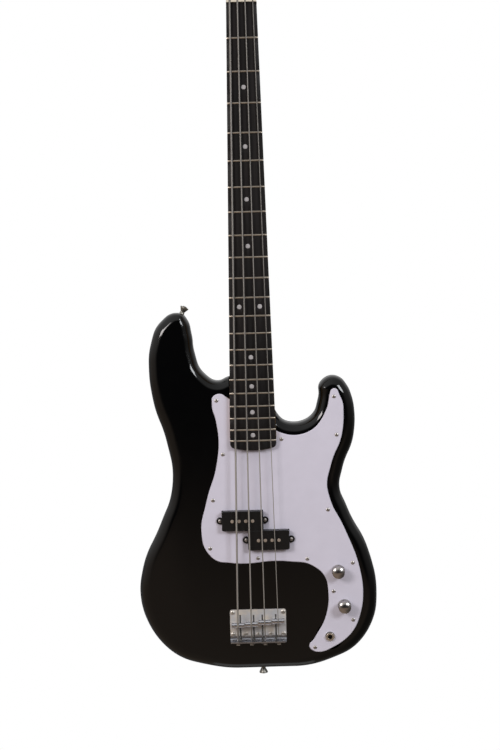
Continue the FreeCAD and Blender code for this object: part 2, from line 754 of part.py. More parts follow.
TUNER_SCREW = (TUNER_SCREW_RADIUS, TUNER_SCREW_LENGTH)
TUNER_SCREW_HEAD = (TUNER_SCREW_HEAD_RADIUS, TUNER_SCREW_HEAD_HEIGHT)


# Body

def contour_block(outline, crease, face_depth, tilt):
    """Tall block round the body's outline, ending in a slanted face with a rounded rim."""
    top, bottom = (body_place(shares) for shares in crease)
    run = top - bottom
    solid = slab(outline, -CONTOUR_BLOCK_REACH, CONTOUR_BLOCK_REACH)
    depth = (-CONTOUR_REACH, 0) if tilt < 0 else (0, CONTOUR_REACH)
    cutter = block((-CONTOUR_REACH, CONTOUR_REACH), depth, (-CONTOUR_REACH, CONTOUR_REACH))
    cutter.rotate(Vector(), UP, tilt)
    cutter.rotate(Vector(), BACK, math.degrees(math.atan2(run.x, run.z)))
    cutter.translate((top + bottom) * 0.5 + BACK * face_depth)
    solid = solid.cut(cutter)
    inner = -CONTOUR_FROM_CENTRE_SHARE * BODY_WIDTH
    rims = [edge for edge in solid.Edges
            if type(edge.Curve) is Part.Ellipse and edge.BoundBox.XMax < inner]
    return solid.makeFillet(CONTOUR_EDGE_RADIUS, rims)


def heel_plan(grow, top):
    """Outline of the neck's heel, with its two end corners rounded."""
    low = HEEL_END - grow
    wide = half_width(HEEL_END) + grow
    corner = HEEL_CORNER + grow
    bend = corner * (1 - math.sqrt(0.5))
    upper = half_width(top) + grow
    edges = [
        Part.LineSegment(Vector(-upper, 0, top), Vector(-wide, 0, low + corner)).toShape(),
        Part.Arc(Vector(-wide, 0, low + corner), Vector(-wide + bend, 0, low + bend),
                 Vector(-wide + corner, 0, low)).toShape(),
        Part.LineSegment(Vector(-wide + corner, 0, low), Vector(wide - corner, 0, low)).toShape(),
        Part.Arc(Vector(wide - corner, 0, low), Vector(wide - bend, 0, low + bend),
                 Vector(wide, 0, low + corner)).toShape(),
        Part.LineSegment(Vector(wide, 0, low + corner), Vector(upper, 0, top)).toShape(),
        Part.LineSegment(Vector(upper, 0, top), Vector(-upper, 0, top)).toShape(),
    ]
    return Part.Wire(edges)


def control_cavity():
    """Round pockets for the controls and the jack, and the slots between them."""
    places = [volume_place(), tone_place(), jack_place()]
    cutters = [rod(place + FRONT * OVERRUN, place + BACK * CAVITY_DEPTH, CAVITY_RADIUS) for place in places]
    cutters += [capsule(a, b, CAVITY_SLOT_RADIUS, -OVERRUN, CAVITY_DEPTH) for a, b in zip(places, places[1:])]
    return cutters


def pickup_cavities():
    margin = PICKUP_CAVITY_MARGIN
    cutters = []
    for place in pickup_places():
        across = (place.x - PICKUP_LENGTH / 2 - margin, place.x + PICKUP_LENGTH / 2 + margin)
        along = (place.z - PICKUP_WIDTH / 2 - margin, place.z + PICKUP_WIDTH / 2 + margin)
        cutters.append(block(across, (-OVERRUN, PICKUP_CAVITY_DEPTH), along))
    return cutters


def wire_channel():
    """Drilled way from the lower pickup's cavity to the controls."""
    start = pickup_places()[1] + BACK * CHANNEL_DEPTH
    return rod(start, volume_place() + BACK * CHANNEL_DEPTH, CHANNEL_RADIUS)


def body():
    outline = arc_loop([body_place(shares) for shares in BODY_OUTLINE_SHARES])
    solid = slab(outline, 0, BODY_THICKNESS)
    rims = [edge for edge in solid.Edges if edge.BoundBox.YLength < BODY_THICKNESS / 2]
    tightest = min(edge.Curve.Radius for edge in outline.Edges if type(edge.Curve) is Part.Circle)
    solid = solid.makeFillet(min(BODY_EDGE_RADIUS, BODY_EDGE_BEND_SHARE * tightest), rims)
    around = outline.makeOffset2D(CONTOUR_OVERHANG)
    solid = solid.common(contour_block(around, FOREARM_CREASE_SHARES, 0, -FOREARM_ANGLE))
    solid = solid.common(contour_block(around, BELLY_CREASE_SHARES, BODY_THICKNESS, BELLY_ANGLE))
    cutters = [slab(heel_plan(NECK_FIT, HEEL_TOP + HEEL_RAMP_LENGTH), -OVERRUN, POCKET_DEPTH)]
    cutters += control_cavity() + pickup_cavities()
    cutters.append(wire_channel())
    cutters += [rod(place, place + BACK * (BODY_THICKNESS + OVERRUN), BOLT_RADIUS + SNUG_FIT)
                for place in bolt_places()]
    cutters += [screw_hole(place, BACK, GUARD_SCREW) for place in guard_screw_places()]
    cutters += [screw_hole(place, BACK, BRIDGE_SCREW) for place in bridge_screw_places()]
    cutters += [screw_hole(ear_seat(place), BACK, PICKUP_SCREW) for place in ear_places()]
    cutters += [screw_hole(seat, out * -1, STRAP_SCREW) for seat, out in strap_seats()]
    for cutter in cutters:
        solid = solid.cut(cutter)
    return solid


# Neck

def neck_section(height):
    """Flat-fronted, round-backed outline of the neck at a height."""
    depth = NECK_DEPTH_AT_NUT + (NECK_DEPTH_AT_HEEL - NECK_DEPTH_AT_NUT) * height / HEEL_TOP
    wide = half_width(height)
    shoulder = WOOD_FACE + NECK_SHOULDER
    low_left = Vector(-wide, shoulder, height)
    low_right = Vector(wide, shoulder, height)
    left = Vector(-wide, WOOD_FACE, height)
    right = Vector(wide, WOOD_FACE, height)
    return Part.Wire([
        Part.LineSegment(left, low_left).toShape(),
        Part.Arc(low_left, Vector(0, WOOD_FACE + depth, height), low_right).toShape(),
        Part.LineSegment(low_right, right).toShape(),
        Part.LineSegment(right, left).toShape(),
    ])


def ramp_cutter(deep, deep_height, shallow_height):
    """Round bar across the neck's back that hollows the ramp from the neck to a thicker end."""
    shallow = WOOD_FACE + NECK_SHOULDER
    run = deep_height - shallow_height
    centre = (deep ** 2 - shallow ** 2 + run ** 2) / (2 * (deep - shallow))
    start = Vector(-HEAD_WIDTH, centre, shallow_height)
    return rod(start, start + Vector(2 * HEAD_WIDTH, 0, 0), centre - shallow)


def head_blank():
    points = [Vector(across * HEAD_WIDTH, 0, along * HEAD_LENGTH) for across, along in HEAD_OUTLINE_SHARES]
    blank = slab(arc_loop(points), WOOD_FACE, HEAD_BACK)
    return blank.cut(ramp_cutter(HEAD_BACK, HEAD_RAMP_TOP, HEAD_RAMP_TOP - HEAD_RAMP_LENGTH))


def head_step():
    """What is cut from the headstock's front, down to its lower face."""
    axis = HEAD_FACE - HEAD_STEP_RADIUS
    start = Vector(-HEAD_WIDTH, axis, HEAD_STEP_TOP)
    scoop = rod(start, start + Vector(2 * HEAD_WIDTH, 0, 0), HEAD_STEP_RADIUS)
    face = block((-HEAD_WIDTH, HEAD_WIDTH), (axis, HEAD_FACE), (HEAD_STEP_TOP, HEAD_LENGTH + OVERRUN))
    return scoop.fuse(face)


def rod_channel():
    """Slot for the truss rod and the scoop that leads to its nut."""
    wide = ROD_RADIUS + SNUG_FIT
    low = HEEL_END + ROD_END_MARGIN
    slot = block((-wide, wide), (WOOD_FACE - OVERRUN, ROD_AXIS), (low, 0))
    bed = rod(Vector(0, ROD_AXIS, low), Vector(0, ROD_AXIS, NUT_THICKNESS + OVERRUN), wide)
    scoop_radius = ROD_NUT_RADIUS + ROD_CHANNEL_CLEARANCE
    scoop_end = Vector(0, ROD_AXIS, NUT_THICKNESS + 2 * ROD_NUT_LENGTH)
    scoop = rod(Vector(0, ROD_AXIS, NUT_THICKNESS), scoop_end, scoop_radius)
    return [slot, bed, scoop, Part.makeSphere(scoop_radius, scoop_end)]


def neck():
    sections = [neck_section(HEAD_RAMP_TOP), neck_section(HEEL_TOP - HEEL_RAMP_LENGTH)]
    shaft = Part.makeLoft(sections, True, True)
    ramp_end = HEEL_TOP + HEEL_RAMP_LENGTH
    heel = slab(heel_plan(0, ramp_end), WOOD_FACE, POCKET_DEPTH)
    heel = heel.cut(ramp_cutter(POCKET_DEPTH, HEEL_TOP, ramp_end))
    solid = shaft.fuse([heel, head_blank()]).removeSplitter()
    solid = solid.cut(head_step())
    cutters = rod_channel()
    cutters += [rod(place + BACK * (POCKET_DEPTH - BOLT_IN_NECK), place + BACK * (POCKET_DEPTH + OVERRUN),
                    BOLT_RADIUS + SNUG_FIT) for place in bolt_places()]
    cutters.append(screw_hole(tree_seat(), BACK, TREE_SCREW))
    for index in range(STRING_COUNT):
        post = post_place(index)
        back = post + BACK * (HEAD_BACK + OVERRUN)
        cutters.append(rod(post + FRONT * BOARD_RISE, back, BUSHING_RADIUS + SNUG_FIT))
        for seat in tuner_screw_seats():
            cutters.append(in_tuner_frame(screw_hole(seat, DOWN, TUNER_SCREW), index))
    for cutter in cutters:
        solid = solid.cut(cutter)
    return solid


def truss_rod():
    low = Vector(0, ROD_AXIS, HEEL_END + ROD_END_MARGIN)
    shoulder = -low.z + NUT_THICKNESS
    tip = shoulder + ROD_NUT_LENGTH / 2
    thread = ROD_NUT_SOCKET_RADIUS
    profile = ((0, 0), (ROD_RADIUS, 0), (ROD_RADIUS, shoulder), (thread, shoulder), (thread, tip), (0, tip))
    return turned(profile, low, UP)


def truss_rod_nut():
    """Barrel nut on the rod's end, with a six-sided key socket."""
    start = Vector(0, ROD_AXIS, NUT_THICKNESS + LUG_PLAY)
    barrel = Part.makeCylinder(ROD_NUT_RADIUS, ROD_NUT_LENGTH, start, UP)
    half = ROD_NUT_LENGTH / 2
    bore = rod(start - UP * OVERRUN, start + UP * half, ROD_NUT_SOCKET_RADIUS + RUNNING_FIT)
    socket = hexagon(ROD_NUT_SOCKET_RADIUS + RUNNING_FIT, start + UP * half, UP, half + OVERRUN)
    return barrel.cut(bore).cut(socket)


def hexagon(radius, base, axis, length):
    """Six-sided bar whose corners stand at a radius."""
    turns = [2 * math.pi * side / HEX_SIDES for side in range(HEX_SIDES)]
    corners = [Vector(radius * math.cos(turn), radius * math.sin(turn), 0) for turn in turns]
    solid = Part.Face(Part.makePolygon(corners + corners[:1])).extrude(UP * length)
    solid.Placement = FreeCAD.Placement(base, FreeCAD.Rotation(UP, axis))
    return solid


# Fretboard, frets, inlays and nut

def crown(rise):
    """Long round bar whose front is the fretboard's curve, raised by some amount."""
    base = Vector(0, BOARD_RADIUS - BOARD_RISE, -BOARD_LENGTH - OVERRUN)
    return Part.makeCylinder(BOARD_RADIUS + rise, BOARD_LENGTH + NUT_THICKNESS + 2 * OVERRUN, base, UP)


def board_blank():
    wide = half_width(-BOARD_LENGTH)
    corner_height = -BOARD_LENGTH + BOARD_CORNER + BOARD_BOW
    top_left = Vector(-NUT_WIDTH / 2, 0, 0)
    top_right = Vector(NUT_WIDTH / 2, 0, 0)
    left = Vector(-half_width(corner_height), 0, corner_height)
    right = Vector(half_width(corner_height), 0, corner_height)
    low_left = Vector(-wide + BOARD_CORNER, 0, -BOARD_LENGTH + BOARD_BOW)
    low_right = Vector(wide - BOARD_CORNER, 0, -BOARD_LENGTH + BOARD_BOW)
    wire = Part.Wire([
        Part.LineSegment(top_left, left).toShape(),
        arc_edge(left, (left - top_left).normalize(), low_left),
        Part.Arc(low_left, Vector(0, 0, -BOARD_LENGTH), low_right).toShape(),
        arc_edge(right, (right - top_right).normalize(), low_right),
        Part.LineSegment(right, top_right).toShape(),
        Part.LineSegment(top_right, top_left).toShape(),
    ])
    return slab(wire, -BOARD_RISE - OVERRUN, WOOD_FACE).common(crown(0))


def swept_fret(profile, height):
    """Profile of (rise, along) pairs swept along the fretboard's curve at a height."""
    axis = Vector(0, BOARD_RADIUS - BOARD_RISE, height)
    corners = [Vector(0, -BOARD_RISE - rise, height + along) for rise, along in profile]
    half_turn = math.degrees(math.asin(half_width(height) / BOARD_RADIUS))
    face = Part.Face(Part.makePolygon(corners + corners[:1]))
    face.rotate(axis, UP, -half_turn)
    return face.revolve(axis, UP, 2 * half_turn)


def frets():
    half = FRET_WIDTH / 2
    tang = FRET_TANG_WIDTH / 2
    shoulder = FRET_HEIGHT / 2
    profile = ((0, -half), (shoulder, -half), (FRET_HEIGHT, -tang), (FRET_HEIGHT, tang), (shoulder, half),
               (0, half), (0, tang), (-FRET_TANG_DEPTH, tang), (-FRET_TANG_DEPTH, -tang), (0, -tang))
    return [swept_fret(profile, fret_height(number)) for number in range(1, FRET_COUNT + 1)]


def fret_slots():
    tang = FRET_TANG_WIDTH / 2 + SNUG_FIT
    deep = -FRET_TANG_DEPTH - SNUG_FIT
    profile = ((OVERRUN, -tang), (OVERRUN, tang), (deep, tang), (deep, -tang))
    return [swept_fret(profile, fret_height(number)) for number in range(1, FRET_COUNT + 1)]


def inlay_dots(blank):
    """Round markers in the face, between frets, and small ones in the edge nearest the thick string."""
    dots = []
    for number in DOT_FRETS:
        height = (fret_height(number - 1) + fret_height(number)) / 2
        pair = DOT_PAIR_SPACING / 2
        spots = (-pair, pair) if number == OCTAVE_FRET else (0,)
        for across in spots:
            deep = Vector(across, DOT_DEPTH - BOARD_RISE, height)
            dots.append(rod(deep, deep + FRONT * (DOT_DEPTH + OVERRUN), DOT_RADIUS).common(blank))
        edge = half_width(height)
        middle = WOOD_FACE - (BOARD_THICKNESS - crown_drop(edge)) / 2
        outside = Vector(-edge - OVERRUN, middle, height)
        side = rod(outside, outside + Vector(DOT_DEPTH + OVERRUN, 0, 0), SIDE_DOT_RADIUS)
        dots.append(side.common(blank))
    return dots


def nut():
    rise = FRET_HEIGHT + NUT_ACTION + E_STRING_THICKNESS / 2 + NUT_ABOVE_STRING
    across = (-NUT_WIDTH / 2, NUT_WIDTH / 2)
    solid = block(across, (-BOARD_RISE - rise, WOOD_FACE), (0, NUT_THICKNESS)).common(crown(rise))
    for index in range(STRING_COUNT):
        radius = STRING_THICKNESSES[index] / 2 + SLOT_CLEARANCE / 2
        corner = nut_corner(index)
        away = (head_run(index)[1] - corner).normalize()
        end = corner + away * (NUT_THICKNESS + OVERRUN)
        start = corner - away * OVERRUN
        open_top = block((corner.x - radius, corner.x + radius), (-BOARD_RISE - rise - OVERRUN, corner.y),
                         (-OVERRUN, NUT_THICKNESS + OVERRUN))
        solid = solid.cut(rod(start, end, radius)).cut(open_top)
    return solid


def tree_seat():
    """Where the string tree's screw head sits."""
    return tree_centre() + FRONT * (TREE_HEIGHT + TREE_DISC_THICKNESS)


def string_tree():
    hole = TREE_SCREW_RADIUS + SNUG_FIT
    full = TREE_HEIGHT + TREE_DISC_THICKNESS
    profile = ((hole, 0), (TREE_STEM_RADIUS, 0), (TREE_STEM_RADIUS, TREE_HEIGHT),
               (TREE_DISC_RADIUS, TREE_HEIGHT + TREE_DISC_RISE), (TREE_DISC_RADIUS, full), (hole, full))
    return [turned(profile, tree_centre(), FRONT), screw(tree_seat(), BACK, TREE_SCREW, TREE_SCREW_HEAD)]


# Tuners, made in the frame of their post: X along the key, Y along the row of posts, Z to the back

def tuner_screw_seats():
    """Seats of the four screws of a tuner's plate."""
    reach = TUNER_PLATE_HALF_WIDTH - TUNER_SCREW_MARGIN
    heights = (TUNER_SCREW_MARGIN - TUNER_PLATE_BELOW, TUNER_PLATE_ABOVE - TUNER_SCREW_MARGIN)
    return [Vector(side * reach, along, TUNER_PLATE_BACK) for side in (-1, 1) for along in heights]


def tuner_plate():
    """Base plate with the two upright lugs that carry the worm's shaft."""
    wide = TUNER_PLATE_HALF_WIDTH
    plate = block((-wide, wide), (-TUNER_PLATE_BELOW, TUNER_PLATE_ABOVE), (HEAD_BACK, TUNER_PLATE_BACK))
    corners = [edge for edge in plate.Edges if edge.BoundBox.ZLength > TUNER_PLATE_THICKNESS / 2]
    plate = plate.makeFillet(TUNER_PLATE_CORNER, corners)
    axis_start = Vector(-wide, WORM_CENTRE, GEAR_PLANE)
    for side in (-1, 1):
        inner = side * LUG_FROM_POST
        outer = side * (LUG_FROM_POST + LUG_THICKNESS)
        across = (min(inner, outer), max(inner, outer))
        along = (WORM_CENTRE - LUG_HALF_WIDTH, WORM_CENTRE + LUG_HALF_WIDTH)
        ear = Vector(across[0], WORM_CENTRE, GEAR_PLANE)
        plate = plate.fuse(block(across, along, (HEAD_BACK, GEAR_PLANE)))
        plate = plate.fuse(rod(ear, ear + Vector(LUG_THICKNESS, 0, 0), LUG_HALF_WIDTH))
    plate = plate.removeSplitter()
    plate = plate.cut(rod(axis_start, axis_start + Vector(2 * wide, 0, 0), KEY_SHAFT_RADIUS + RUNNING_FIT))
    bore = rod(Vector(), Vector(0, 0, TUNER_PLATE_BACK + OVERRUN), POST_RADIUS + RUNNING_FIT)
    plate = plate.cut(bore)
    for seat in tuner_screw_seats():
        plate = plate.cut(screw_hole(seat, DOWN, TUNER_SCREW))
    return plate


def tuner_bushing():
    inner = POST_RADIUS + RUNNING_FIT
    front = HEAD_FACE - BUSHING_FLANGE_HEIGHT
    back = HEAD_FACE + BUSHING_LENGTH
    profile = ((inner, front), (BUSHING_FLANGE_RADIUS, front), (BUSHING_FLANGE_RADIUS, HEAD_FACE),
               (BUSHING_RADIUS, HEAD_FACE), (BUSHING_RADIUS, back), (inner, back))
    return turned(profile, Vector(), UP)


def tuner_post(index):
    """Post from its slotted tip to the seat of its gear, in the tuner's frame."""
    thick = STRING_THICKNESSES[index]
    slot_level = high_turn(index)
    tip = slot_level - POST_TIP_PAST_SLOT
    flare = slot_level - thick / 2 - WRAP_PITCH_GAP
    flange = HEAD_FACE - BUSHING_FLANGE_HEIGHT
    collar = TUNER_PLATE_BACK + LUG_PLAY
    gear_front = GEAR_PLANE - GEAR_THICKNESS / 2
    gear_back = GEAR_PLANE + GEAR_THICKNESS / 2
    thread = GEAR_SCREW_RADIUS + SNUG_FIT
    blunt = POST_TIP_RADIUS - POST_WAIST_RADIUS
    profile = ((0, tip), (POST_WAIST_RADIUS, tip), (POST_TIP_RADIUS, tip + blunt),
               (POST_TIP_RADIUS, flare - blunt), (POST_WAIST_RADIUS, flare), (POST_WAIST_RADIUS, flange),
               (POST_RADIUS, flange), (POST_RADIUS, collar), (GEAR_COLLAR_RADIUS, collar),
               (GEAR_COLLAR_RADIUS, gear_front), (GEAR_BORE_RADIUS, gear_front),
               (GEAR_BORE_RADIUS, gear_back), (thread, gear_back), (thread, gear_back - GEAR_SCREW_LENGTH),
               (0, gear_back - GEAR_SCREW_LENGTH))
    post = turned(profile, post_place(index), BACK)
    clear = thick / 2 + SLOT_CLEARANCE
    inward = wrap_end(index)
    axis_point = inward[-1].Vertexes[-1].Point
    entry = inward[-1].Vertexes[0].Point
    across = (entry - axis_point).normalize() * (2 * POST_TIP_RADIUS)
    slot = capsule(axis_point - across, axis_point + across, clear, tip - OVERRUN - slot_level, 0)
    return post.cut(tube(inward, clear)).cut(slot)


def tooth_half_space():
    return TOOTH_PITCH / 4 + TOOTH_FLANK_GAP / 2


def tuner_gear():
    """Worm gear with slanted tooth spaces, and the screw that holds it."""
    front = GEAR_PLANE - GEAR_THICKNESS / 2
    back = GEAR_PLANE + GEAR_THICKNESS / 2
    rim = GEAR_PITCH_RADIUS + TOOTH_ADDENDUM
    gear = rod(Vector(0, 0, front), Vector(0, 0, back), rim)
    bore = rod(Vector(0, 0, front - OVERRUN), Vector(0, 0, back + OVERRUN), GEAR_BORE_RADIUS + SNUG_FIT)
    gear = gear.cut(bore)
    slope = math.tan(math.radians(FLANK_ANGLE))
    floor = WORM_CENTRE - WORM_TIP_RADIUS - TOOTH_TIP_GAP
    mouth = rim + OVERRUN
    narrow = tooth_half_space() - (GEAR_PITCH_RADIUS - floor) * slope
    wide = tooth_half_space() + (mouth - GEAR_PITCH_RADIUS) * slope
    corners = [Vector(-narrow, floor, front - OVERRUN), Vector(narrow, floor, front - OVERRUN),
               Vector(wide, mouth, front - OVERRUN), Vector(-wide, mouth, front - OVERRUN)]
    space = Part.Face(Part.makePolygon(corners + corners[:1])).extrude(UP * (GEAR_THICKNESS + 2 * OVERRUN))
    space.rotate(Vector(0, 0, GEAR_PLANE), Vector(0, 1, 0), -LEAD_ANGLE)
    for tooth in range(GEAR_TEETH):
        turn = space.copy()
        turn.rotate(Vector(), UP, tooth * 360 / GEAR_TEETH)
        gear = gear.cut(turn)
    gear_screw = screw(Vector(0, 0, back), DOWN, (GEAR_SCREW_RADIUS, GEAR_SCREW_LENGTH - SNUG_FIT),
                       (GEAR_SCREW_HEAD_RADIUS, GEAR_SCREW_HEAD_HEIGHT))
    return [gear, gear_screw]


def worm_thread():
    """One-start thread ridge along Z, longer than the worm at both ends."""
    slope = math.tan(math.radians(FLANK_ANGLE))
    root = WORM_CORE_RADIUS - SNUG_FIT
    half = TOOTH_PITCH / 4 - TOOTH_FLANK_GAP / 2
    root_half = half + (WORM_PITCH_RADIUS - root) * slope
    tip_half = half - (WORM_TIP_RADIUS - WORM_PITCH_RADIUS) * slope
    corners = [Vector(root, 0, -root_half), Vector(WORM_TIP_RADIUS, 0, -tip_half),
               Vector(WORM_TIP_RADIUS, 0, tip_half), Vector(root, 0, root_half)]
    section = Part.makePolygon(corners + corners[:1])
    helix = Part.makeHelix(TOOTH_PITCH, WORM_LENGTH, WORM_PITCH_RADIUS)
    return Part.Wire(helix).makePipeShell([section], True, True)


def tuner_key():
    """Worm shaft with its thread, and the three-lobed key on its end."""
    half = WORM_LENGTH / 2
    thread = worm_thread()
    thread.translate(DOWN * half)
    inner = LUG_FROM_POST - LUG_PLAY
    collar = half + TOOTH_PITCH / 4
    shoulder = WORM_PITCH_RADIUS
    low = -(LUG_FROM_POST + LUG_THICKNESS + LUG_PLAY)
    end = KEY_FROM_POST + KEY_COLLAR_LENGTH
    profile = ((0, low), (KEY_SHAFT_RADIUS, low), (KEY_SHAFT_RADIUS, -inner), (shoulder, -inner),
               (shoulder, -collar), (WORM_CORE_RADIUS, -collar), (WORM_CORE_RADIUS, collar),
               (shoulder, collar), (shoulder, inner),
               (KEY_SHAFT_RADIUS, inner), (KEY_SHAFT_RADIUS, end), (0, end))
    shaft = turned(profile, Vector(), UP).fuse(thread)
    lie_down = FreeCAD.Matrix(0, 0, 1, 0, -1, 0, 0, WORM_CENTRE, 0, -1, 0, GEAR_PLANE, 0, 0, 0, 1)
    shaft.Placement = FreeCAD.Placement(lie_down)
    return [shaft, key_grip()]


def key_grip():
    """Flat three-lobed grip with a round collar."""
    front = GEAR_PLANE - KEY_THICKNESS / 2
    lobes = [(KEY_SIDE_LOBE_REACH, -KEY_SIDE_LOBE_SPREAD, KEY_SIDE_LOBE_RADIUS),
             (KEY_SIDE_LOBE_REACH, KEY_SIDE_LOBE_SPREAD, KEY_SIDE_LOBE_RADIUS),
             (KEY_TOP_LOBE_REACH, 0, KEY_TOP_LOBE_RADIUS)]
    start = KEY_FROM_POST + KEY_COLLAR_LENGTH
    grip = None
    for reach, spread, radius in lobes:
        middle = Vector(start + reach, WORM_CENTRE + spread, front)
        lobe = Part.makeCylinder(radius, KEY_THICKNESS, middle, UP)
        grip = grip.fuse(lobe) if grip else lobe
    grip = grip.removeSplitter()
    rims = [edge for edge in grip.Edges if edge.BoundBox.ZLength < KEY_THICKNESS / 2]
    grip = grip.makeFillet(KEY_EDGE_RADIUS, rims)
    base = Vector(KEY_FROM_POST, WORM_CENTRE, GEAR_PLANE)
    reach = Vector(KEY_COLLAR_LENGTH + KEY_SIDE_LOBE_REACH - KEY_SIDE_LOBE_RADIUS / 2, 0, 0)
    grip = grip.fuse(rod(base, base + reach, KEY_COLLAR_RADIUS))
    bore_end = base + Vector(KEY_COLLAR_LENGTH + SNUG_FIT, 0, 0)
    return grip.cut(rod(base - Vector(OVERRUN, 0, 0), bore_end, KEY_SHAFT_RADIUS + SNUG_FIT))


# Strings

def head_run(index):
    """The points from the nut to where the string meets its post."""
    start = nut_corner(index)
    points = [start]
    if index in tree_places():
        points.append(tree_places()[index])
    last = points[-1]
    post = post_place(index)
    radius = wrap_radius(index)
    away = math.hypot(last.x - post.x, last.z - post.z)
    angle = math.atan2(last.z - post.z, last.x - post.x) + math.acos(radius / away)
    points.append(wrap_point(index, angle, low_turn(index)))
    return points


def wrap_point(index, angle, depth):
    post = post_place(index)
    radius = wrap_radius(index)
    return Vector(post.x + radius * math.cos(angle), depth, post.z + radius * math.sin(angle))


def wrap_heading(index, angle, climb):
    return Vector(-math.sin(angle), climb, math.cos(angle)).normalize()


def wrap_start_angle(index):
    leave = head_run(index)[-1] - post_place(index)
    return math.atan2(leave.z, leave.x)


def wrap_turns(index):
    """Quarter turns of a string round its post, climbing away from the headstock."""
    points = head_run(index)
    heading = (points[-1] - points[-2]).normalize()
    start = points[-1]
    climb = -wrap_pitch(index) / (2 * math.pi * wrap_radius(index))
    quarters = WRAP_QUARTERS[index]
    edges = []
    for quarter in range(1, quarters + 1):
        angle = wrap_start_angle(index) + quarter * math.pi / 2
        end = wrap_point(index, angle, low_turn(index) - wrap_pitch(index) * quarter / 4)
        end_heading = wrap_heading(index, angle, 0 if quarter == quarters else climb)
        edges += biarc(start, heading, end, end_heading)
        start, heading = end, end_heading
    return edges


def wrap_end(index):
    """The bend from the last turn into the post's slot, and the short run to its middle."""
    angle = wrap_start_angle(index) + WRAP_QUARTERS[index] * math.pi / 2
    level = high_turn(index)
    radius = wrap_radius(index)
    bend = radius * WRAP_BEND_SHARE
    swing = math.asin(bend / (radius - bend))
    distance = math.sqrt((radius - bend) ** 2 - bend ** 2)
    post = post_place(index)
    middle = Vector(post.x, level, post.z)
    outward = Vector(math.cos(angle + swing), 0, math.sin(angle + swing))
    entry = middle + outward * distance
    start = wrap_point(index, angle, level)
    return [arc_edge(start, wrap_heading(index, angle, 0), entry), Part.LineSegment(entry, middle).toShape()]


def string(index):
    """One string from its ball end to its post, and the ball end."""
    thick = STRING_THICKNESSES[index]
    hole = flange_hole(index)
    corner = saddle_corner(index)
    along = (corner - hole).normalize()
    ball_middle = hole - along * (BALL_RADIUS / -along.dot(DOWN) + STRING_SEAT)
    start = ball_middle + along * (BALL_RADIUS - thick / 2)
    points = [start, corner] + head_run(index)
    radii = [saddle_bend(index), NUT_BEND] + [TREE_BEND] * (index in tree_places())
    edges = bent_line(points, radii) + wrap_turns(index) + wrap_end(index)
    wire = tube(edges, thick / 2)
    turns = [point for edge in wrap_turns(index) for point in edge.discretize(6)[1:]]
    gap = least_gap(turns, thick, len(turns) // WRAP_QUARTERS[index] * 2)
    length = sum(edge.Length for edge in edges)
    print("string", STRING_NAMES[index], "gap", round(gap, 2), "volume share",
          round(wire.Volume / (math.pi * thick ** 2 / 4 * length), 4))
    half = Vector(BALL_LENGTH / 2, 0, 0)
    ball = rod(ball_middle - half, ball_middle + half, BALL_RADIUS)
    return [wire, ball.cut(tube(edges[:1], thick / 2))]


# Bridge

def lane_edge(solid, depth, height):
    """The edge of a bent plate that runs across the bass at a depth and a height."""
    line = Vector(0, depth, height)
    return min(solid.Edges, key=lambda edge: (edge.CenterOfMass - line).Length)


def bridge_plate():
    wide = BRIDGE_WIDTH / 2
    flat = block((-wide, wide), (BRIDGE_FACE, 0), (BRIDGE_BOTTOM, BRIDGE_TOP))
    upper = BRIDGE_TOP - BRIDGE_CORNER
    corners = [edge for edge in flat.Edges
               if edge.BoundBox.YLength > BRIDGE_THICKNESS / 2 and edge.BoundBox.ZMin > upper]
    flat = flat.makeFillet(BRIDGE_CORNER, corners)
    inner = BRIDGE_BOTTOM + BRIDGE_THICKNESS
    flange = block((-wide, wide), (-BRIDGE_FLANGE_HEIGHT, 0), (BRIDGE_BOTTOM, inner))
    ends = [edge for edge in flange.Edges
            if edge.BoundBox.ZLength > BRIDGE_THICKNESS / 2 and edge.BoundBox.YMax < BRIDGE_FACE]
    flange = flange.makeFillet(BRIDGE_CORNER, ends)
    plate = flat.fuse(flange).removeSplitter()
    plate = plate.makeFillet(BRIDGE_BEND, [lane_edge(plate, BRIDGE_FACE, inner)])
    plate = plate.makeFillet(BRIDGE_BEND + BRIDGE_THICKNESS, [lane_edge(plate, 0, BRIDGE_BOTTOM)])
    for place in bridge_screw_places():
        plate = plate.cut(screw_hole(place, BACK, BRIDGE_SCREW))
    for index in range(STRING_COUNT):
        hole = flange_hole(index)
        along = (saddle_corner(index) - hole).normalize()
        reach = along * (BRIDGE_THICKNESS + OVERRUN)
        radius = STRING_THICKNESSES[index] / 2 + STRING_HOLE_CLEARANCE
        plate = plate.cut(rod(hole - reach, hole + reach, radius))
        seat = intonation_seat(index)
        plate = plate.cut(rod(seat + DOWN * OVERRUN, seat + UP * (BRIDGE_THICKNESS + OVERRUN),
                              INTONATION_RADIUS + RUNNING_FIT))
    return plate


def intonation_seat(index):
    """Where an adjusting screw's head meets the bridge flange."""
    return Vector(intonation_across(index), saddle_centre(index).y, BRIDGE_BOTTOM)


def saddle(index):
    """Barrel saddle with its two height screws."""
    centre = saddle_centre(index)
    half = Vector(SADDLE_LENGTH / 2, 0, 0)
    barrel = rod(centre - half, centre + half, SADDLE_RADIUS)
    seat = intonation_seat(index)
    barrel = barrel.cut(rod(seat, seat + UP * BRIDGE_LENGTH, INTONATION_RADIUS + RUNNING_FIT))
    pieces = []
    for side in (-1, 1):
        across = centre.x + side * GRUB_SPACING / 2
        top = Vector(across, centre.y - SADDLE_RADIUS - GRUB_PROUD, centre.z)
        foot = Vector(across, BRIDGE_FACE - GRUB_GAP, centre.z)
        pieces.append(rod(top, foot, GRUB_RADIUS))
        barrel = barrel.cut(rod(top, foot, GRUB_RADIUS + SNUG_FIT))
    return [barrel] + pieces


def intonation_screw(index):
    seat = intonation_seat(index)
    length = BRIDGE_LENGTH - INTONATION_TIP_INSET
    return screw(seat, UP, (INTONATION_RADIUS, length), (INTONATION_HEAD_RADIUS, INTONATION_HEAD_HEIGHT))


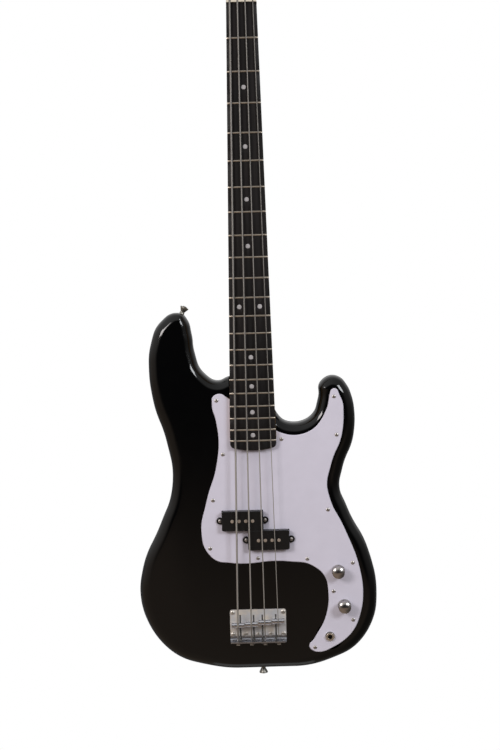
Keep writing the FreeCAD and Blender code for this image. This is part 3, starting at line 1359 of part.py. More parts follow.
def intonation_spring(index):
    """Coil spring on the adjusting screw, between the flange and the saddle."""
    seat = intonation_seat(index)
    low = BRIDGE_BOTTOM + BRIDGE_THICKNESS + SPRING_END_GAP + SPRING_WIRE / 2
    high = saddle_centre(index).z - SADDLE_RADIUS - SPRING_END_GAP - SPRING_WIRE / 2
    rise = (high - low) / SPRING_COILS
    slope = rise / (2 * math.pi * SPRING_MEAN_RADIUS)
    stations = []
    for half in range(2 * SPRING_COILS + 1):
        angle = half * math.pi
        across = SPRING_MEAN_RADIUS * math.cos(angle)
        place = Vector(seat.x + across, seat.y + SPRING_MEAN_RADIUS * math.sin(angle), low + rise * half / 2)
        stations.append((place, Vector(-math.sin(angle), math.cos(angle), slope).normalize()))
    edges = []
    for (start, heading), (end, end_heading) in zip(stations, stations[1:]):
        edges += biarc(start, heading, end, end_heading)
    points = [point for edge in edges[:12] for point in edge.discretize(6)[1:]]
    print("spring", STRING_NAMES[index], "gap", round(least_gap(points, SPRING_WIRE, 12), 2))
    return tube(edges, SPRING_WIRE / 2)


# Pickguard and pickups

def guard():
    solid = slab(arc_loop([body_place(shares) for shares in GUARD_OUTLINE_SHARES]), GUARD_FACE, 0)
    rims = [edge for edge in solid.Edges if edge.BoundBox.YMax < GUARD_FACE / 2]
    solid = solid.makeChamfer(GUARD_BEVEL, rims)
    solid = solid.cut(slab(heel_plan(GUARD_FIT, HEEL_TOP), GUARD_FACE - OVERRUN, OVERRUN))
    for place in pickup_places():
        across = (place.x - PICKUP_LENGTH / 2 - GUARD_FIT, place.x + PICKUP_LENGTH / 2 + GUARD_FIT)
        along = (place.z - PICKUP_WIDTH / 2 - GUARD_FIT, place.z + PICKUP_WIDTH / 2 + GUARD_FIT)
        solid = solid.cut(block(across, (GUARD_FACE - OVERRUN, OVERRUN), along))
    for place in (volume_place(), tone_place(), jack_place()):
        front = place + FRONT * (GUARD_THICKNESS + OVERRUN)
        solid = solid.cut(rod(front, place + BACK * OVERRUN, BUSH_RADIUS + SNUG_FIT))
    for place in guard_screw_places():
        solid = solid.cut(screw_hole(place, BACK, GUARD_SCREW))
    for place in ear_places():
        solid = solid.cut(screw_hole(ear_seat(place), BACK, PICKUP_SCREW))
    return solid


def ear_seat(place):
    return place + FRONT * (GUARD_THICKNESS + PICKUP_EAR_HEIGHT)


def pole_places():
    """Tops of the four pole pieces of each pickup."""
    top = FRONT * (GUARD_THICKNESS + PICKUP_HEIGHT + POLE_PROUD)
    first = -(POLE_COUNT - 1) / 2 * POLE_SPACING
    return [place + top + Vector(first + pole * POLE_SPACING, 0, 0)
            for place in pickup_places() for pole in range(POLE_COUNT)]


def pickup_cover(place):
    """Open-backed cover with a screw ear at each end."""
    def shell(inset, front, back):
        across = (place.x - PICKUP_LENGTH / 2 + inset, place.x + PICKUP_LENGTH / 2 - inset)
        along = (place.z - PICKUP_WIDTH / 2 + inset, place.z + PICKUP_WIDTH / 2 - inset)
        return block(across, (front, back), along)

    outer = shell(0, PICKUP_FACE, PICKUP_DEPTH)
    posts = [edge for edge in outer.Edges if edge.BoundBox.YLength > PICKUP_HEIGHT]
    outer = outer.makeFillet(PICKUP_CORNER, posts)
    rims = [edge for edge in outer.Edges if edge.BoundBox.YMax < PICKUP_FACE / 2]
    outer = outer.makeFillet(PICKUP_WALL / 2, rims)
    for ear in ear_places():
        if abs(ear.z - place.z) < PICKUP_EAR_RADIUS:
            base = ear + FRONT * GUARD_THICKNESS
            tab = Part.makeCylinder(PICKUP_EAR_RADIUS, PICKUP_EAR_HEIGHT, base, FRONT)
            outer = outer.fuse(tab).cut(screw_hole(ear_seat(ear), BACK, PICKUP_SCREW))
    outer = outer.cut(shell(PICKUP_WALL, PICKUP_FACE + PICKUP_WALL, PICKUP_DEPTH + OVERRUN))
    for pole in pole_places():
        outer = outer.cut(rod(pole + FRONT * OVERRUN, pole + BACK * PICKUP_HEIGHT, POLE_RADIUS + SNUG_FIT))
    return outer


def pickup_bobbin(place):
    """Two flanges and the coil between them, bored for the poles."""
    def layer(inset, front, back):
        across = (place.x - PICKUP_LENGTH / 2 + inset, place.x + PICKUP_LENGTH / 2 - inset)
        along = (place.z - PICKUP_WIDTH / 2 + inset, place.z + PICKUP_WIDTH / 2 - inset)
        return block(across, (front, back), along)

    inset = PICKUP_WALL + BOBBIN_GAP / 2
    top = PICKUP_FACE + PICKUP_WALL + RUNNING_FIT
    bottom = PICKUP_DEPTH
    solid = layer(inset, top, top + BOBBIN_FLANGE).fuse(layer(inset, bottom - BOBBIN_FLANGE, bottom))
    solid = solid.fuse(layer(inset + COIL_INSET, top, bottom)).removeSplitter()
    for pole in pole_places():
        solid = solid.cut(rod(pole, Vector(pole.x, bottom + OVERRUN, pole.z), POLE_RADIUS + SNUG_FIT))
    return solid


def pickup_poles():
    return [rod(pole, Vector(pole.x, PICKUP_DEPTH, pole.z), POLE_RADIUS) for pole in pole_places()]


# Controls

def knob(place):
    """Domed metal knob, hollow underneath to clear the nut."""
    base = place + FRONT * (GUARD_THICKNESS + KNOB_LIFT)
    wall_top = KNOB_HEIGHT - KNOB_DOME
    profile = ((0, 0), (KNOB_SKIRT_RADIUS, 0), (KNOB_SKIRT_RADIUS, KNOB_SKIRT_HEIGHT),
               (KNOB_RADIUS, KNOB_SKIRT_HEIGHT), (KNOB_RADIUS, wall_top), (0, wall_top))
    dome_radius = (KNOB_RADIUS ** 2 + KNOB_DOME ** 2) / (2 * KNOB_DOME)
    dome = Part.makeSphere(dome_radius, base + FRONT * (KNOB_HEIGHT - dome_radius))
    dome = dome.common(Part.makeCylinder(KNOB_RADIUS, KNOB_HEIGHT, base + FRONT * wall_top, FRONT))
    solid = turned(profile, base, FRONT).fuse(dome).removeSplitter()
    hollow = control_nut_top() - GUARD_THICKNESS - KNOB_LIFT + LUG_PLAY
    solid = solid.cut(rod(base + BACK * OVERRUN, base + FRONT * hollow, KNOB_RADIUS - KNOB_WALL))
    return solid.cut(rod(base, place + FRONT * (shaft_top() + SNUG_FIT), SHAFT_RADIUS + SNUG_FIT))


def control_nut_top():
    """Height of a control's bush above the body's face."""
    return GUARD_THICKNESS + WASHER_THICKNESS + CONTROL_NUT_HEIGHT + WASHER_THICKNESS


def shaft_top():
    return control_nut_top() + SHAFT_IN_KNOB


def control_shaft(place):
    return rod(place + BACK * SHAFT_IN_POT, place + FRONT * shaft_top(), SHAFT_RADIUS)


def control_nut(place):
    """Washer and nut on a control's bush."""
    washer = place + FRONT * GUARD_THICKNESS
    seat = washer + FRONT * WASHER_THICKNESS
    hole = rod(place, place + FRONT * (control_nut_top() + OVERRUN), BUSH_RADIUS + SNUG_FIT)
    ring = Part.makeCylinder(WASHER_RADIUS, WASHER_THICKNESS, washer, FRONT).cut(hole)
    return [ring, hexagon(CONTROL_NUT_RADIUS, seat, FRONT, CONTROL_NUT_HEIGHT).cut(hole)]


def lug_direction(place):
    """From a control towards the pickups, along the face."""
    return (pickup_places()[1] - place).normalize()


def lug_places(place):
    """Outer ends of a control's three solder lugs, on their back faces."""
    out = lug_direction(place)
    side = out.cross(BACK)
    start = place + out * (POT_RADIUS + POT_LUG_LENGTH / 2) + BACK * (POT_DEPTH / 2)
    return [start + side * (step * POT_LUG_SPACING) for step in (-1, 0, 1)]


def potentiometer(place):
    """Round can with a bush for the shaft and three solder lugs."""
    can = Part.makeCylinder(POT_RADIUS, POT_DEPTH, place, BACK)
    can = can.fuse(Part.makeCylinder(BUSH_RADIUS, control_nut_top(), place, FRONT))
    out = lug_direction(place)
    for lug in lug_places(place):
        across = out * POT_LUG_LENGTH
        side = out.cross(BACK) * (POT_LUG_WIDTH / 2)
        middle = lug - across * 0.5
        corners = [middle - side - across, middle - side + across,
                   middle + side + across, middle + side - across]
        can = can.fuse(Part.Face(Part.makePolygon(corners + corners[:1])).extrude(FRONT * POT_LUG_THICKNESS))
    front = place + FRONT * (control_nut_top() + OVERRUN)
    bore = rod(place + BACK * (SHAFT_IN_POT + SNUG_FIT), front, SHAFT_RADIUS + RUNNING_FIT)
    return can.cut(bore)


def jack_spring_end():
    """Back end of the output jack's contact spring."""
    across = JACK_BORE_RADIUS + JACK_SPRING_GAP + JACK_SPRING_THICKNESS / 2
    return jack_place() + Vector(-across, JACK_LENGTH, 0)


def output_jack():
    """Bored bush, frame plate and contact spring."""
    place = jack_place()
    shell = Part.makeCylinder(BUSH_RADIUS, control_nut_top(), place, FRONT)
    shell = shell.fuse(Part.makeCylinder(JACK_FRAME_RADIUS, JACK_FRAME_THICKNESS, place, BACK))
    front = place + FRONT * (control_nut_top() + OVERRUN)
    bore = rod(front, place + BACK * (JACK_FRAME_THICKNESS + OVERRUN), JACK_BORE_RADIUS)
    end = jack_spring_end()
    half = JACK_SPRING_WIDTH / 2
    across = (end.x - JACK_SPRING_THICKNESS / 2, end.x + JACK_SPRING_THICKNESS / 2)
    spring = block(across, (0, JACK_LENGTH), (end.z - half, end.z + half))
    return shell.fuse(spring).cut(bore)


def wiring():
    """Wires from the pickups to the volume control, and on to the tone control and the jack."""
    lug, spare, out = (lug_places(volume_place())[i] for i in (1, 2, 0))
    tone_lug = lug_places(tone_place())[0]
    jack_end = jack_spring_end()
    start = pickup_places()[1] + BACK * PICKUP_DEPTH
    slot = volume_place() + (tone_place() - volume_place()) * WIRE_SLOT_SHARE
    routes = [
        (CHANNEL_DEPTH, [start, lug]),
        (TONE_WIRE_LEVEL, [spare, slot, tone_lug]),
        (JACK_WIRE_LEVEL, [out, slot, tone_place(), jack_end]),
    ]
    wires = []
    for level, places in routes:
        run = [Vector(place.x, level, place.z) for place in places]
        points = [places[0]] + run + [places[-1]]
        wires.append(tube(bent_line(points, [WIRE_BEND] * len(run)), WIRE_RADIUS))
    return wires


def tone_capacitor():
    """Disc capacitor hanging from two lugs of the tone control."""
    first, second = lug_places(tone_place())[1:]
    middle = (first + second) * 0.5 + BACK * (POT_DEPTH + CAPACITOR_RADIUS)
    side = lug_direction(tone_place()) * (CAPACITOR_THICKNESS / 2)
    solid = rod(middle - side, middle + side, CAPACITOR_RADIUS)
    for lug in (first, second):
        solid = solid.fuse(rod(lug, Vector(lug.x, middle.y, lug.z), LEAD_RADIUS))
    return solid


# Fasteners and strap buttons

def neck_plate():
    places = bolt_places()
    middle = (places[0] + places[-1]) * 0.5
    across = (middle.x - PLATE_WIDTH / 2, middle.x + PLATE_WIDTH / 2)
    along = (middle.z - PLATE_LENGTH / 2, middle.z + PLATE_LENGTH / 2)
    plate = block(across, (BODY_THICKNESS, BODY_THICKNESS + PLATE_THICKNESS), along)
    corners = [edge for edge in plate.Edges if edge.BoundBox.YLength > PLATE_THICKNESS / 2]
    plate = plate.makeFillet(PLATE_CORNER, corners)
    for place in places:
        back = place + BACK * (BODY_THICKNESS + PLATE_THICKNESS + OVERRUN)
        plate = plate.cut(rod(place, back, BOLT_RADIUS + SNUG_FIT))
    return plate


def neck_bolts():
    seat = BODY_THICKNESS + PLATE_THICKNESS
    length = seat - POCKET_DEPTH + BOLT_IN_NECK - SNUG_FIT
    return [screw(place + BACK * seat, FRONT, (BOLT_RADIUS, length), (BOLT_HEAD_RADIUS, BOLT_HEAD_HEIGHT))
            for place in bolt_places()]


def strap_buttons():
    """Flared buttons and their screws."""
    hole = STRAP_SCREW_RADIUS + SNUG_FIT
    pieces = []
    for seat, outward in strap_seats():
        profile = ((hole, 0), (STRAP_FOOT_RADIUS, 0), (STRAP_NECK_RADIUS, STRAP_NECK_HEIGHT),
                   (STRAP_HEAD_RADIUS, STRAP_HEIGHT - STRAP_RIM), (STRAP_HEAD_RADIUS, STRAP_HEIGHT),
                   (hole, STRAP_HEIGHT))
        pieces.append(turned(profile, seat, outward))
        head = (STRAP_SCREW_HEAD_RADIUS, STRAP_SCREW_HEAD_HEIGHT)
        shank = (STRAP_SCREW_RADIUS, STRAP_SCREW_LENGTH + STRAP_HEIGHT - SNUG_FIT)
        pieces.append(screw(seat + outward * STRAP_HEIGHT, outward * -1, shank, head))
    return pieces


def main():
    os.makedirs("parts", exist_ok=True)
    write("body", body())
    write("pickguard", guard())
    write("pickguard_screws",
          [screw(place, BACK, GUARD_SCREW, GUARD_SCREW_HEAD) for place in guard_screw_places()])
    write("neck_plate", neck_plate())
    write("neck_bolts", neck_bolts())
    write("neck", neck())
    write("truss_rod", truss_rod())
    write("truss_rod_nut", truss_rod_nut())
    blank = board_blank()
    dots = inlay_dots(blank)
    board = blank.cut(Part.makeCompound(dots))
    for slot in fret_slots():
        board = board.cut(slot)
    write("fretboard", board)
    write("frets", frets())
    write("inlay_dots", dots)
    write("nut", nut())
    write("string_tree", string_tree())
    write("tuner_plates", [in_tuner_frame(tuner_plate(), index) for index in range(STRING_COUNT)])
    write("tuner_bushings", [in_tuner_frame(tuner_bushing(), index) for index in range(STRING_COUNT)])
    write("tuner_plate_screws", [
        in_tuner_frame(screw(seat, DOWN, TUNER_SCREW, TUNER_SCREW_HEAD), index)
        for index in range(STRING_COUNT) for seat in tuner_screw_seats()
    ])
    for index, name in enumerate(STRING_NAMES):
        write("tuner_post_" + name, tuner_post(index))
        write("tuner_gear_" + name, [in_tuner_frame(piece, index) for piece in tuner_gear()])
        write("tuner_key_" + name, [in_tuner_frame(piece, index) for piece in tuner_key()])
        write("string_" + name, string(index))
        write("saddle_" + name, saddle(index))
        write("intonation_screw_" + name, intonation_screw(index))
        write("intonation_spring_" + name, intonation_spring(index))
    write("bridge_plate", bridge_plate())
    write("bridge_screws",
          [screw(place, BACK, BRIDGE_SCREW, BRIDGE_SCREW_HEAD) for place in bridge_screw_places()])
    write("pickup_covers", [pickup_cover(place) for place in pickup_places()])
    write("pickup_bobbins", [pickup_bobbin(place) for place in pickup_places()])
    write("pickup_poles", pickup_poles())
    write("pickup_screws",
          [screw(ear_seat(place), BACK, PICKUP_SCREW, PICKUP_SCREW_HEAD) for place in ear_places()])
    write("volume_knob", knob(volume_place()))
    write("tone_knob", knob(tone_place()))
    write("volume_shaft", control_shaft(volume_place()))
    write("tone_shaft", control_shaft(tone_place()))
    write("potentiometers", [potentiometer(volume_place()), potentiometer(tone_place())])
    write("control_nuts", control_nut(volume_place()) + control_nut(tone_place()) + control_nut(jack_place()))
    write("output_jack", output_jack())
    write("strap_buttons", strap_buttons())
    write("wiring", wiring())
    write("tone_capacitor", tone_capacitor())


main()
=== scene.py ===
"""Electric bass guitar on its CAD frame: an operator for each group of pieces and one for the studio."""

import json
import math

import bmesh
import bpy
from bpy.props import FloatProperty, FloatVectorProperty, IntProperty, PointerProperty
from bpy.types import Operator, Panel, PropertyGroup
from mathutils import Matrix, Vector
from mathutils.geometry import delaunay_2d_cdt
from mathutils.kdtree import KDTree

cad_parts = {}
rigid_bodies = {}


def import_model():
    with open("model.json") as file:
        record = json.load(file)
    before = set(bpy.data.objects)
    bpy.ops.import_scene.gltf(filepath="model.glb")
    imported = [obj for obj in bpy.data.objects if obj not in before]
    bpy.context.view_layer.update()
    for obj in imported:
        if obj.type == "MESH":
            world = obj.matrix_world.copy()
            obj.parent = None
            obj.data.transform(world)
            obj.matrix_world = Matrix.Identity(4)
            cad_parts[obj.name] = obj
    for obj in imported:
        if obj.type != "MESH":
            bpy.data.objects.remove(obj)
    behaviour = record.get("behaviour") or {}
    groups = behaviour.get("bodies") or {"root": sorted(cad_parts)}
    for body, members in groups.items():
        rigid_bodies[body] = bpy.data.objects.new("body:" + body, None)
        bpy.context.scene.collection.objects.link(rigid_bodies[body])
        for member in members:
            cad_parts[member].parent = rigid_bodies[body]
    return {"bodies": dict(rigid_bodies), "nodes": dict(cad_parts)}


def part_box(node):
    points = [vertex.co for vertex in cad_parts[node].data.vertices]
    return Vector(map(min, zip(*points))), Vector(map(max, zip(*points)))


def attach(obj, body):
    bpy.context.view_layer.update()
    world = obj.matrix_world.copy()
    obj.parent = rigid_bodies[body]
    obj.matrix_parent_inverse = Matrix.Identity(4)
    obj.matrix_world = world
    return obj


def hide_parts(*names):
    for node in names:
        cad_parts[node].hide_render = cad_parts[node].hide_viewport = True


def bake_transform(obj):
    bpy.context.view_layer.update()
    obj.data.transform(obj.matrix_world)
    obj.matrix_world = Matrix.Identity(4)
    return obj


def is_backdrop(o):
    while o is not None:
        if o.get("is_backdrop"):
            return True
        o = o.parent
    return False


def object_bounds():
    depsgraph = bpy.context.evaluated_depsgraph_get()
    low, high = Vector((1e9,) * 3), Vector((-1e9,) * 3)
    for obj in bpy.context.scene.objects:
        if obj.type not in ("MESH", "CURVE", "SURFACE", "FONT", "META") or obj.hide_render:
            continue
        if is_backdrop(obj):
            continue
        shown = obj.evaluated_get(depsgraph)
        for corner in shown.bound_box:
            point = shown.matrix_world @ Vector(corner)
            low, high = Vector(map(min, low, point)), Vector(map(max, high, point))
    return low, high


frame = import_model()

bl_info = {
    "name": "Electric bass guitar",
    "version": (1, 0, 0),
    "blender": (4, 5, 0),
    "location": "View3D > Sidebar > Bass",
    "description": "Dresses the frame of a four-string electric bass and sets up its studio",
    "category": "Object",
}


def box_of(node):
    """Lowest and highest corner of a CAD node."""
    return [Vector(corner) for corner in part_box(node)]


CAD_LOW, CAD_HIGH = (Vector(corner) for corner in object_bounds())
BODY_LOW, BODY_HIGH = box_of("body")
BOARD_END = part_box("fretboard")[0][2]
STRINGS = ("e", "a", "d", "g")
CONTROLS = ("volume", "tone")
FRONT = Vector((0, -1, 0))
BACK = Vector((0, 1, 0))
UP = Vector((0, 0, 1))
TURN = 2 * math.pi
QUARTER = TURN / 4
OCTAVE = 12.0  # frets to an octave
WELD = 2e-6  # points nearer than this are one
FLAT = math.radians(0.2)  # faces that turn less than this are one
SHARP = math.radians(50)  # edges that turn more than this are softened
STRAIGHT = 1e-6  # arcs that turn less than this are straight
PARALLEL = 1e-9  # headings that differ less than this are the same
INSIDE_ONLY, TOUCHING = 1, 1e-7  # kind of a face's triangles, and distance at which its points are one
STRING_GIVE = 0.12  # length of string above a saddle, put into the span of the string's upper part
CAVITY_MARGIN = 10  # clearances between a pickup's coil and its cavity
POCKET_SIDES = 48
GRID_MARGIN = 0.6  # least distance of a face's points from its rim, as a share of their grid
BEAD_STEPS, BEAD_SIDES = 14, 10
DOME_ANGLES = (0, 20, 38, 54, 68, 79)  # rings of a screw's head, in degrees from its top
DOME_POWER = 0.8  # below 1 the head is fuller than a ball
RIM_SHARE = 0.12  # height of a screw's rim, as a share of its head
BRIDGE_FOLD = 0.007  # height of the bridge plate's bend over its lower end
SHADE_BELOW, SHADE_ABOVE = 0.02, 0.03  # where a string's painted shade begins and ends round the board's end
KNURL_RIDGES, KNURL_LOW, KNURL_HIGH = 72, 0.0045, 0.0022  # ridges and the plain bands at a knob's ends
# Where the pickguard's edge is eased: place, sideways shift and reach
GUARD_EASES = (((0.1031, -0.5537), 0.0032, 0.017), ((0.0853, -0.9120), -0.0034, 0.014))

# Outline of the body, as shares of its width from the centreline and of its length up from the tail
BODY_OUTLINE = (
    (0.0165, 0.0), (-0.1798, 0.0055), (-0.3779, 0.0522), (-0.4829, 0.155), (-0.4978, 0.228),
    (-0.4833, 0.287), (-0.3965, 0.42), (-0.356, 0.487), (-0.3435, 0.554), (-0.3655, 0.645),
    (-0.4154, 0.755), (-0.4299, 0.83), (-0.4223, 0.9078), (-0.3799, 0.9738), (-0.3156, 1.0007),
    (-0.2866, 0.9977), (-0.2636, 0.98), (-0.2477, 0.94), (-0.2397, 0.895), (-0.2053, 0.8348),
    (-0.1438, 0.8097), (-0.0969, 0.8203), (-0.0399, 0.829), (0.0399, 0.822), (0.0839, 0.783),
    (0.1009, 0.715), (0.1268, 0.6961), (0.1718, 0.6883), (0.2487, 0.7085), (0.277, 0.7558),
    (0.2856, 0.7964), (0.3355, 0.8163), (0.3723, 0.8089), (0.3984, 0.7881), (0.4182, 0.754),
    (0.4274, 0.708), (0.4208, 0.65), (0.3707, 0.557), (0.3565, 0.511), (0.39, 0.442),
    (0.4702, 0.33), (0.5033, 0.22), (0.4883, 0.135), (0.4204, 0.063), (0.2796, 0.015),
)
# Where each contour begins: the upper and the lower end of its crease, as shares too
FOREARM_CREASE = ((-0.3678, 0.46), (-0.2783, 0.01))
BELLY_CREASE = ((-0.2964, 0.95), (-0.415, 0.30))


# Sizes and looks that can be changed in the sidebar

def metres(name, description, default):
    """A length."""
    return FloatProperty(name=name, description=description, default=default, unit="LENGTH")


def radians(name, description, default):
    """An angle, in radians."""
    return FloatProperty(name=name, description=description, default=default, subtype="ANGLE")


def factor(name, description, default):
    """A share of another size."""
    return FloatProperty(name=name, description=description, default=default, min=0.0, max=1.0,
                         subtype="FACTOR")


def whole_number(name, description, default, least=0):
    """A count."""
    return IntProperty(name=name, description=description, default=default, min=least)


def light_colour(name, description, default):
    """A colour of light."""
    return FloatVectorProperty(name=name, description=description, default=default, subtype="COLOR")


class BodySizes(PropertyGroup):
    width: metres("Width", "Width that the outline's shares refer to", 0.338)
    length: metres("Length", "Length that the outline's shares refer to", 0.510)
    edge: metres("Edge radius", "Rounding of the front and back edges", 0.016)
    tip_share: factor("Tip share", "Most rounding at a tip, as a share of the tip's radius", 0.92)
    evening: whole_number("Evening", "Times that the rounding is evened out", 25)
    edge_steps: whole_number("Edge steps", "Rings in the rounding of an edge", 12, 3)
    spacing: metres("Outline step", "Distance between points of the outline", 0.0022)
    grid: metres("Face grid", "Distance between points inside the faces", 0.008)
    forearm: radians("Forearm slope", "Slope of the contour on the front", math.radians(11))
    belly: radians("Belly slope", "Slope of the contour on the back", math.radians(10))
    crease: metres("Crease softness", "Width over which a contour turns into the face", 0.016)
    pocket: metres("Neck pocket", "Depth of the neck pocket", 0.016)
    cavity: metres("Cavity depth", "Depth of the control pockets", 0.036)
    cavity_radius: metres("Cavity radius", "Radius of a control pocket", 0.0196)
    pickup_cavity: metres("Pickup cavity", "Depth of the pickup cavities", 0.020)
    clearance: metres("Clearance", "Space between a piece and its pocket", 0.0002)


class NeckSizes(PropertyGroup):
    scale: metres("Scale length", "Length of the open string", 0.8636)
    frets: whole_number("Frets", "Number of frets", 21, 1)
    nut_width: metres("Width at the nut", "Width of the fretboard at the nut", 0.042)
    end_width: metres("Width at the end", "Width of the fretboard at its end", 0.0652)
    board_length: metres("Board length", "Length of the fretboard", -BOARD_END)
    board_rise: metres("Board rise", "Height of the fretboard over the body", -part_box("fretboard")[0][1])
    crown: metres("Crown radius", "Radius of the fretboard's face", 0.241)
    fret_width: metres("Fret width", "Width of a fret's bead", 0.0025)
    fret_height: metres("Fret height", "Height of a fret's bead", 0.0012)
    fret_bevel: metres("Fret end bevel", "Slope of the ends of a fret", 0.0006)
    tang: metres("Fret seat", "How far a bead reaches into the board", 0.0004)


class ScrewSizes(PropertyGroup):
    turns: whole_number("Sides", "Sides of a screw head", 28, 8)
    cross_width: factor("Cross width", "Width of the cross, as a share of the head's radius", 0.30)
    cross_length: factor("Cross length", "Length of the cross, as a share of the radius", 0.62)
    cross_depth: factor("Cross depth", "Depth of the cross, as a share of the head's height", 0.8)
    seed: whole_number("Seed", "Seed of the angle at which each screw stopped", 4)
    guard_head: metres("Guard screw head", "Height of a pickguard screw's head", 0.0011)
    bridge_head: metres("Bridge screw head", "Height of a bridge screw's head", 0.0016)
    pickup_head: metres("Pickup screw head", "Height of a pickup screw's head", 0.0014)
    tuner_head: metres("Tuner screw head", "Height of a tuner screw's head", 0.0012)
    bolt_head: metres("Bolt head", "Height of a neck bolt's head", 0.0024)


class KnobSizes(PropertyGroup):
    sides: whole_number("Sides", "Sides of a knob", 72, 16)
    steps: whole_number("Crown steps", "Rings in the crown and in its rounding", 8, 3)
    crown: metres("Crown", "Rise of the crown over its rim", 0.0026)
    rounding: metres("Rounding", "Rounding of the crown's rim", 0.0013)
    skirt: metres("Skirt", "Height of the foot", 0.0020)
    skirt_step: metres("Skirt step", "How far the foot stands out", 0.0006)
    wall: metres("Wall", "Thickness of the wall", 0.0016)
    hollow: metres("Hollow", "Depth of the hollow in the foot", 0.0065)


class StudioLook(PropertyGroup):
    camera_place: FloatVectorProperty(name="Camera place", description="Where the camera stands",
                                      default=(0.02895, -2.1041, -0.3748), subtype="TRANSLATION",
                                      unit="LENGTH")
    camera_tilt: radians("Tilt", "How far the camera looks down", 0.0666)
    camera_pan: radians("Pan", "How far the camera looks aside", 0.0147)
    camera_roll: radians("Roll", "How far the camera leans", -0.0263)
    lens: FloatProperty(name="Lens", description="Focal length", default=72.0, unit="CAMERA")
    lamp_power: FloatProperty(name="Lamp power", description="Power of each of the two soft lamps",
                              default=15.0, unit="POWER")
    lamp_width: metres("Lamp width", "Width of a soft lamp", 0.6)
    lamp_height: metres("Lamp height", "Height of a soft lamp", 0.5)
    lamp_aside: metres("Lamp aside", "Distance of a lamp to the side", 1.2)
    lamp_ahead: metres("Lamp ahead", "Distance of a lamp in front", 1.45)
    lamp_above: metres("Lamp above", "Height of a lamp over the body's middle", 0.75)
    warm: light_colour("Left lamp", "Colour of the left lamp", (1.0, 0.955, 0.94))
    cool: light_colour("Right lamp", "Colour of the right lamp", (0.94, 0.97, 1.0))
    floor_drop: metres("Floor drop", "How far the floor lies below the bass", 0.9)
    floor_size: metres("Floor size", "Side of the floor", 0.5)
    floor_depth: metres("Floor depth", "Thickness of the floor", 0.01)


# Node trees

class Term:
    """A value in a node tree, on which sums can be written."""

    def __init__(self, sheet, socket):
        self.sheet = sheet
        self.socket = socket

    def _sum(self, operation, *values):
        return self.sheet.add("ShaderNodeMath", {"operation": operation}, dict(enumerate(values)))

    def __add__(self, other):
        return self._sum("ADD", self, other)

    def __radd__(self, other):
        return self._sum("ADD", other, self)

    def __sub__(self, other):
        return self._sum("SUBTRACT", self, other)

    def __rsub__(self, other):
        return self._sum("SUBTRACT", other, self)

    def __mul__(self, other):
        return self._sum("MULTIPLY", self, other)

    def __rmul__(self, other):
        return self._sum("MULTIPLY", other, self)

    def __truediv__(self, other):
        return self._sum("DIVIDE", self, other)

    def __rtruediv__(self, other):
        return self._sum("DIVIDE", other, self)

    def __neg__(self):
        return self._sum("MULTIPLY", self, -1.0)

    def __pow__(self, other):
        return self._sum("POWER", self, other)

    def __rpow__(self, other):
        return self._sum("POWER", other, self)

    def root(self):
        return self._sum("SQRT", self)

    def sine(self):
        return self._sum("SINE", self)

    def angle_to(self, other):
        return self._sum("ARCTAN2", self, other)

    def between(self, low, high):
        """0 below the low limit, 1 above the high one and a soft step between."""
        sockets = {"Value": self, "From Min": low, "From Max": high}
        return self.sheet.add("ShaderNodeMapRange", {"interpolation_type": "SMOOTHSTEP"}, sockets)


class Sheet:
    """A node tree that is being drawn."""

    def __init__(self, tree):
        self.tree = tree

    def add(self, kind, settings=None, sockets=None, output=0):
        """Adds a node with its settings and socket values, and returns one of its outputs."""
        node = self.tree.nodes.new(kind)
        for key, value in (settings or {}).items():
            setattr(node, key, value)
        for key, value in (sockets or {}).items():
            self.fill(node.inputs[key], value)
        return Term(self, node.outputs[output])

    def fill(self, socket, value):
        """Links a term to a socket, or sets a plain value on it."""
        if isinstance(value, Term):
            self.tree.links.new(value.socket, socket)
        else:
            socket.default_value = value

    def blend(self, share, first, second):
        """Colour between two colours."""
        sockets = {0: share, 6: as_colour(first), 7: as_colour(second)}
        return self.add("ShaderNodeMix", {"data_type": "RGBA"}, sockets, 2)

    def split(self, vector):
        """The three parts of a vector."""
        node = self.add("ShaderNodeSeparateXYZ", None, {0: vector}).socket.node
        return [Term(self, output) for output in node.outputs]

    def join(self, x, y, z):
        return self.add("ShaderNodeCombineXYZ", None, {0: x, 1: y, 2: z})


def as_colour(value):
    """A colour with its alpha; a term stays as it is."""
    return value if isinstance(value, Term) or len(value) == 4 else (*value, 1.0)


class Paint(Sheet):
    """A surface material that is being drawn."""

    def __init__(self, name):
        self.material = bpy.data.materials.new(name.replace("_", " "))
        self.material.use_nodes = True
        super().__init__(self.material.node_tree)
        self.shader = self.tree.nodes["Principled BSDF"]
        self.place = self.add("ShaderNodeTexCoord", None, None, "Object")

    def set(self, **values):
        """Sets the shader's sockets, which are named with _ for a blank."""
        for key, value in values.items():
            name = key.replace("_", " ").title().replace("Ior", "IOR")
            self.fill(self.shader.inputs[name], as_colour(value) if isinstance(value, tuple) else value)
        return self

    def noise(self, scale, detail=3.0, stretch=(1.0, 1.0, 1.0), roughness=0.55):
        """Noise over the piece, in cells to the metre."""
        place = self.add("ShaderNodeMapping", None, {"Vector": self.place, "Scale": stretch})
        sockets = {"Vector": place, "Scale": scale, "Detail": detail, "Roughness": roughness}
        return self.add("ShaderNodeTexNoise", None, sockets)

    def emboss(self, height, distance, strength=1.0):
        """Lifts the surface by a height field."""
        sockets = {"Height": height, "Distance": distance, "Strength": strength}
        return self.set(normal=self.add("ShaderNodeBump", None, sockets))


def shade(colour, share):
    """A colour made darker or lighter."""
    return tuple(share * part for part in colour)


def metal(name, colour, roughness, smear=0.06, wear_and_reflection=None):
    """Metal with handling marks: its roughness wanders a little and its colour follows."""
    paint = Paint(name)
    marks = paint.noise(scale=60.0, detail=4.0)
    # On the bridge plate, the colour of the marks is a cool painted reflection as well as wear.
    tone = paint.blend(marks.between(0.35, 0.7), wear_and_reflection or shade(colour, 0.92), colour)
    return paint.set(metallic=1.0, base_color=tone, roughness=roughness + smear * (marks - 0.5))


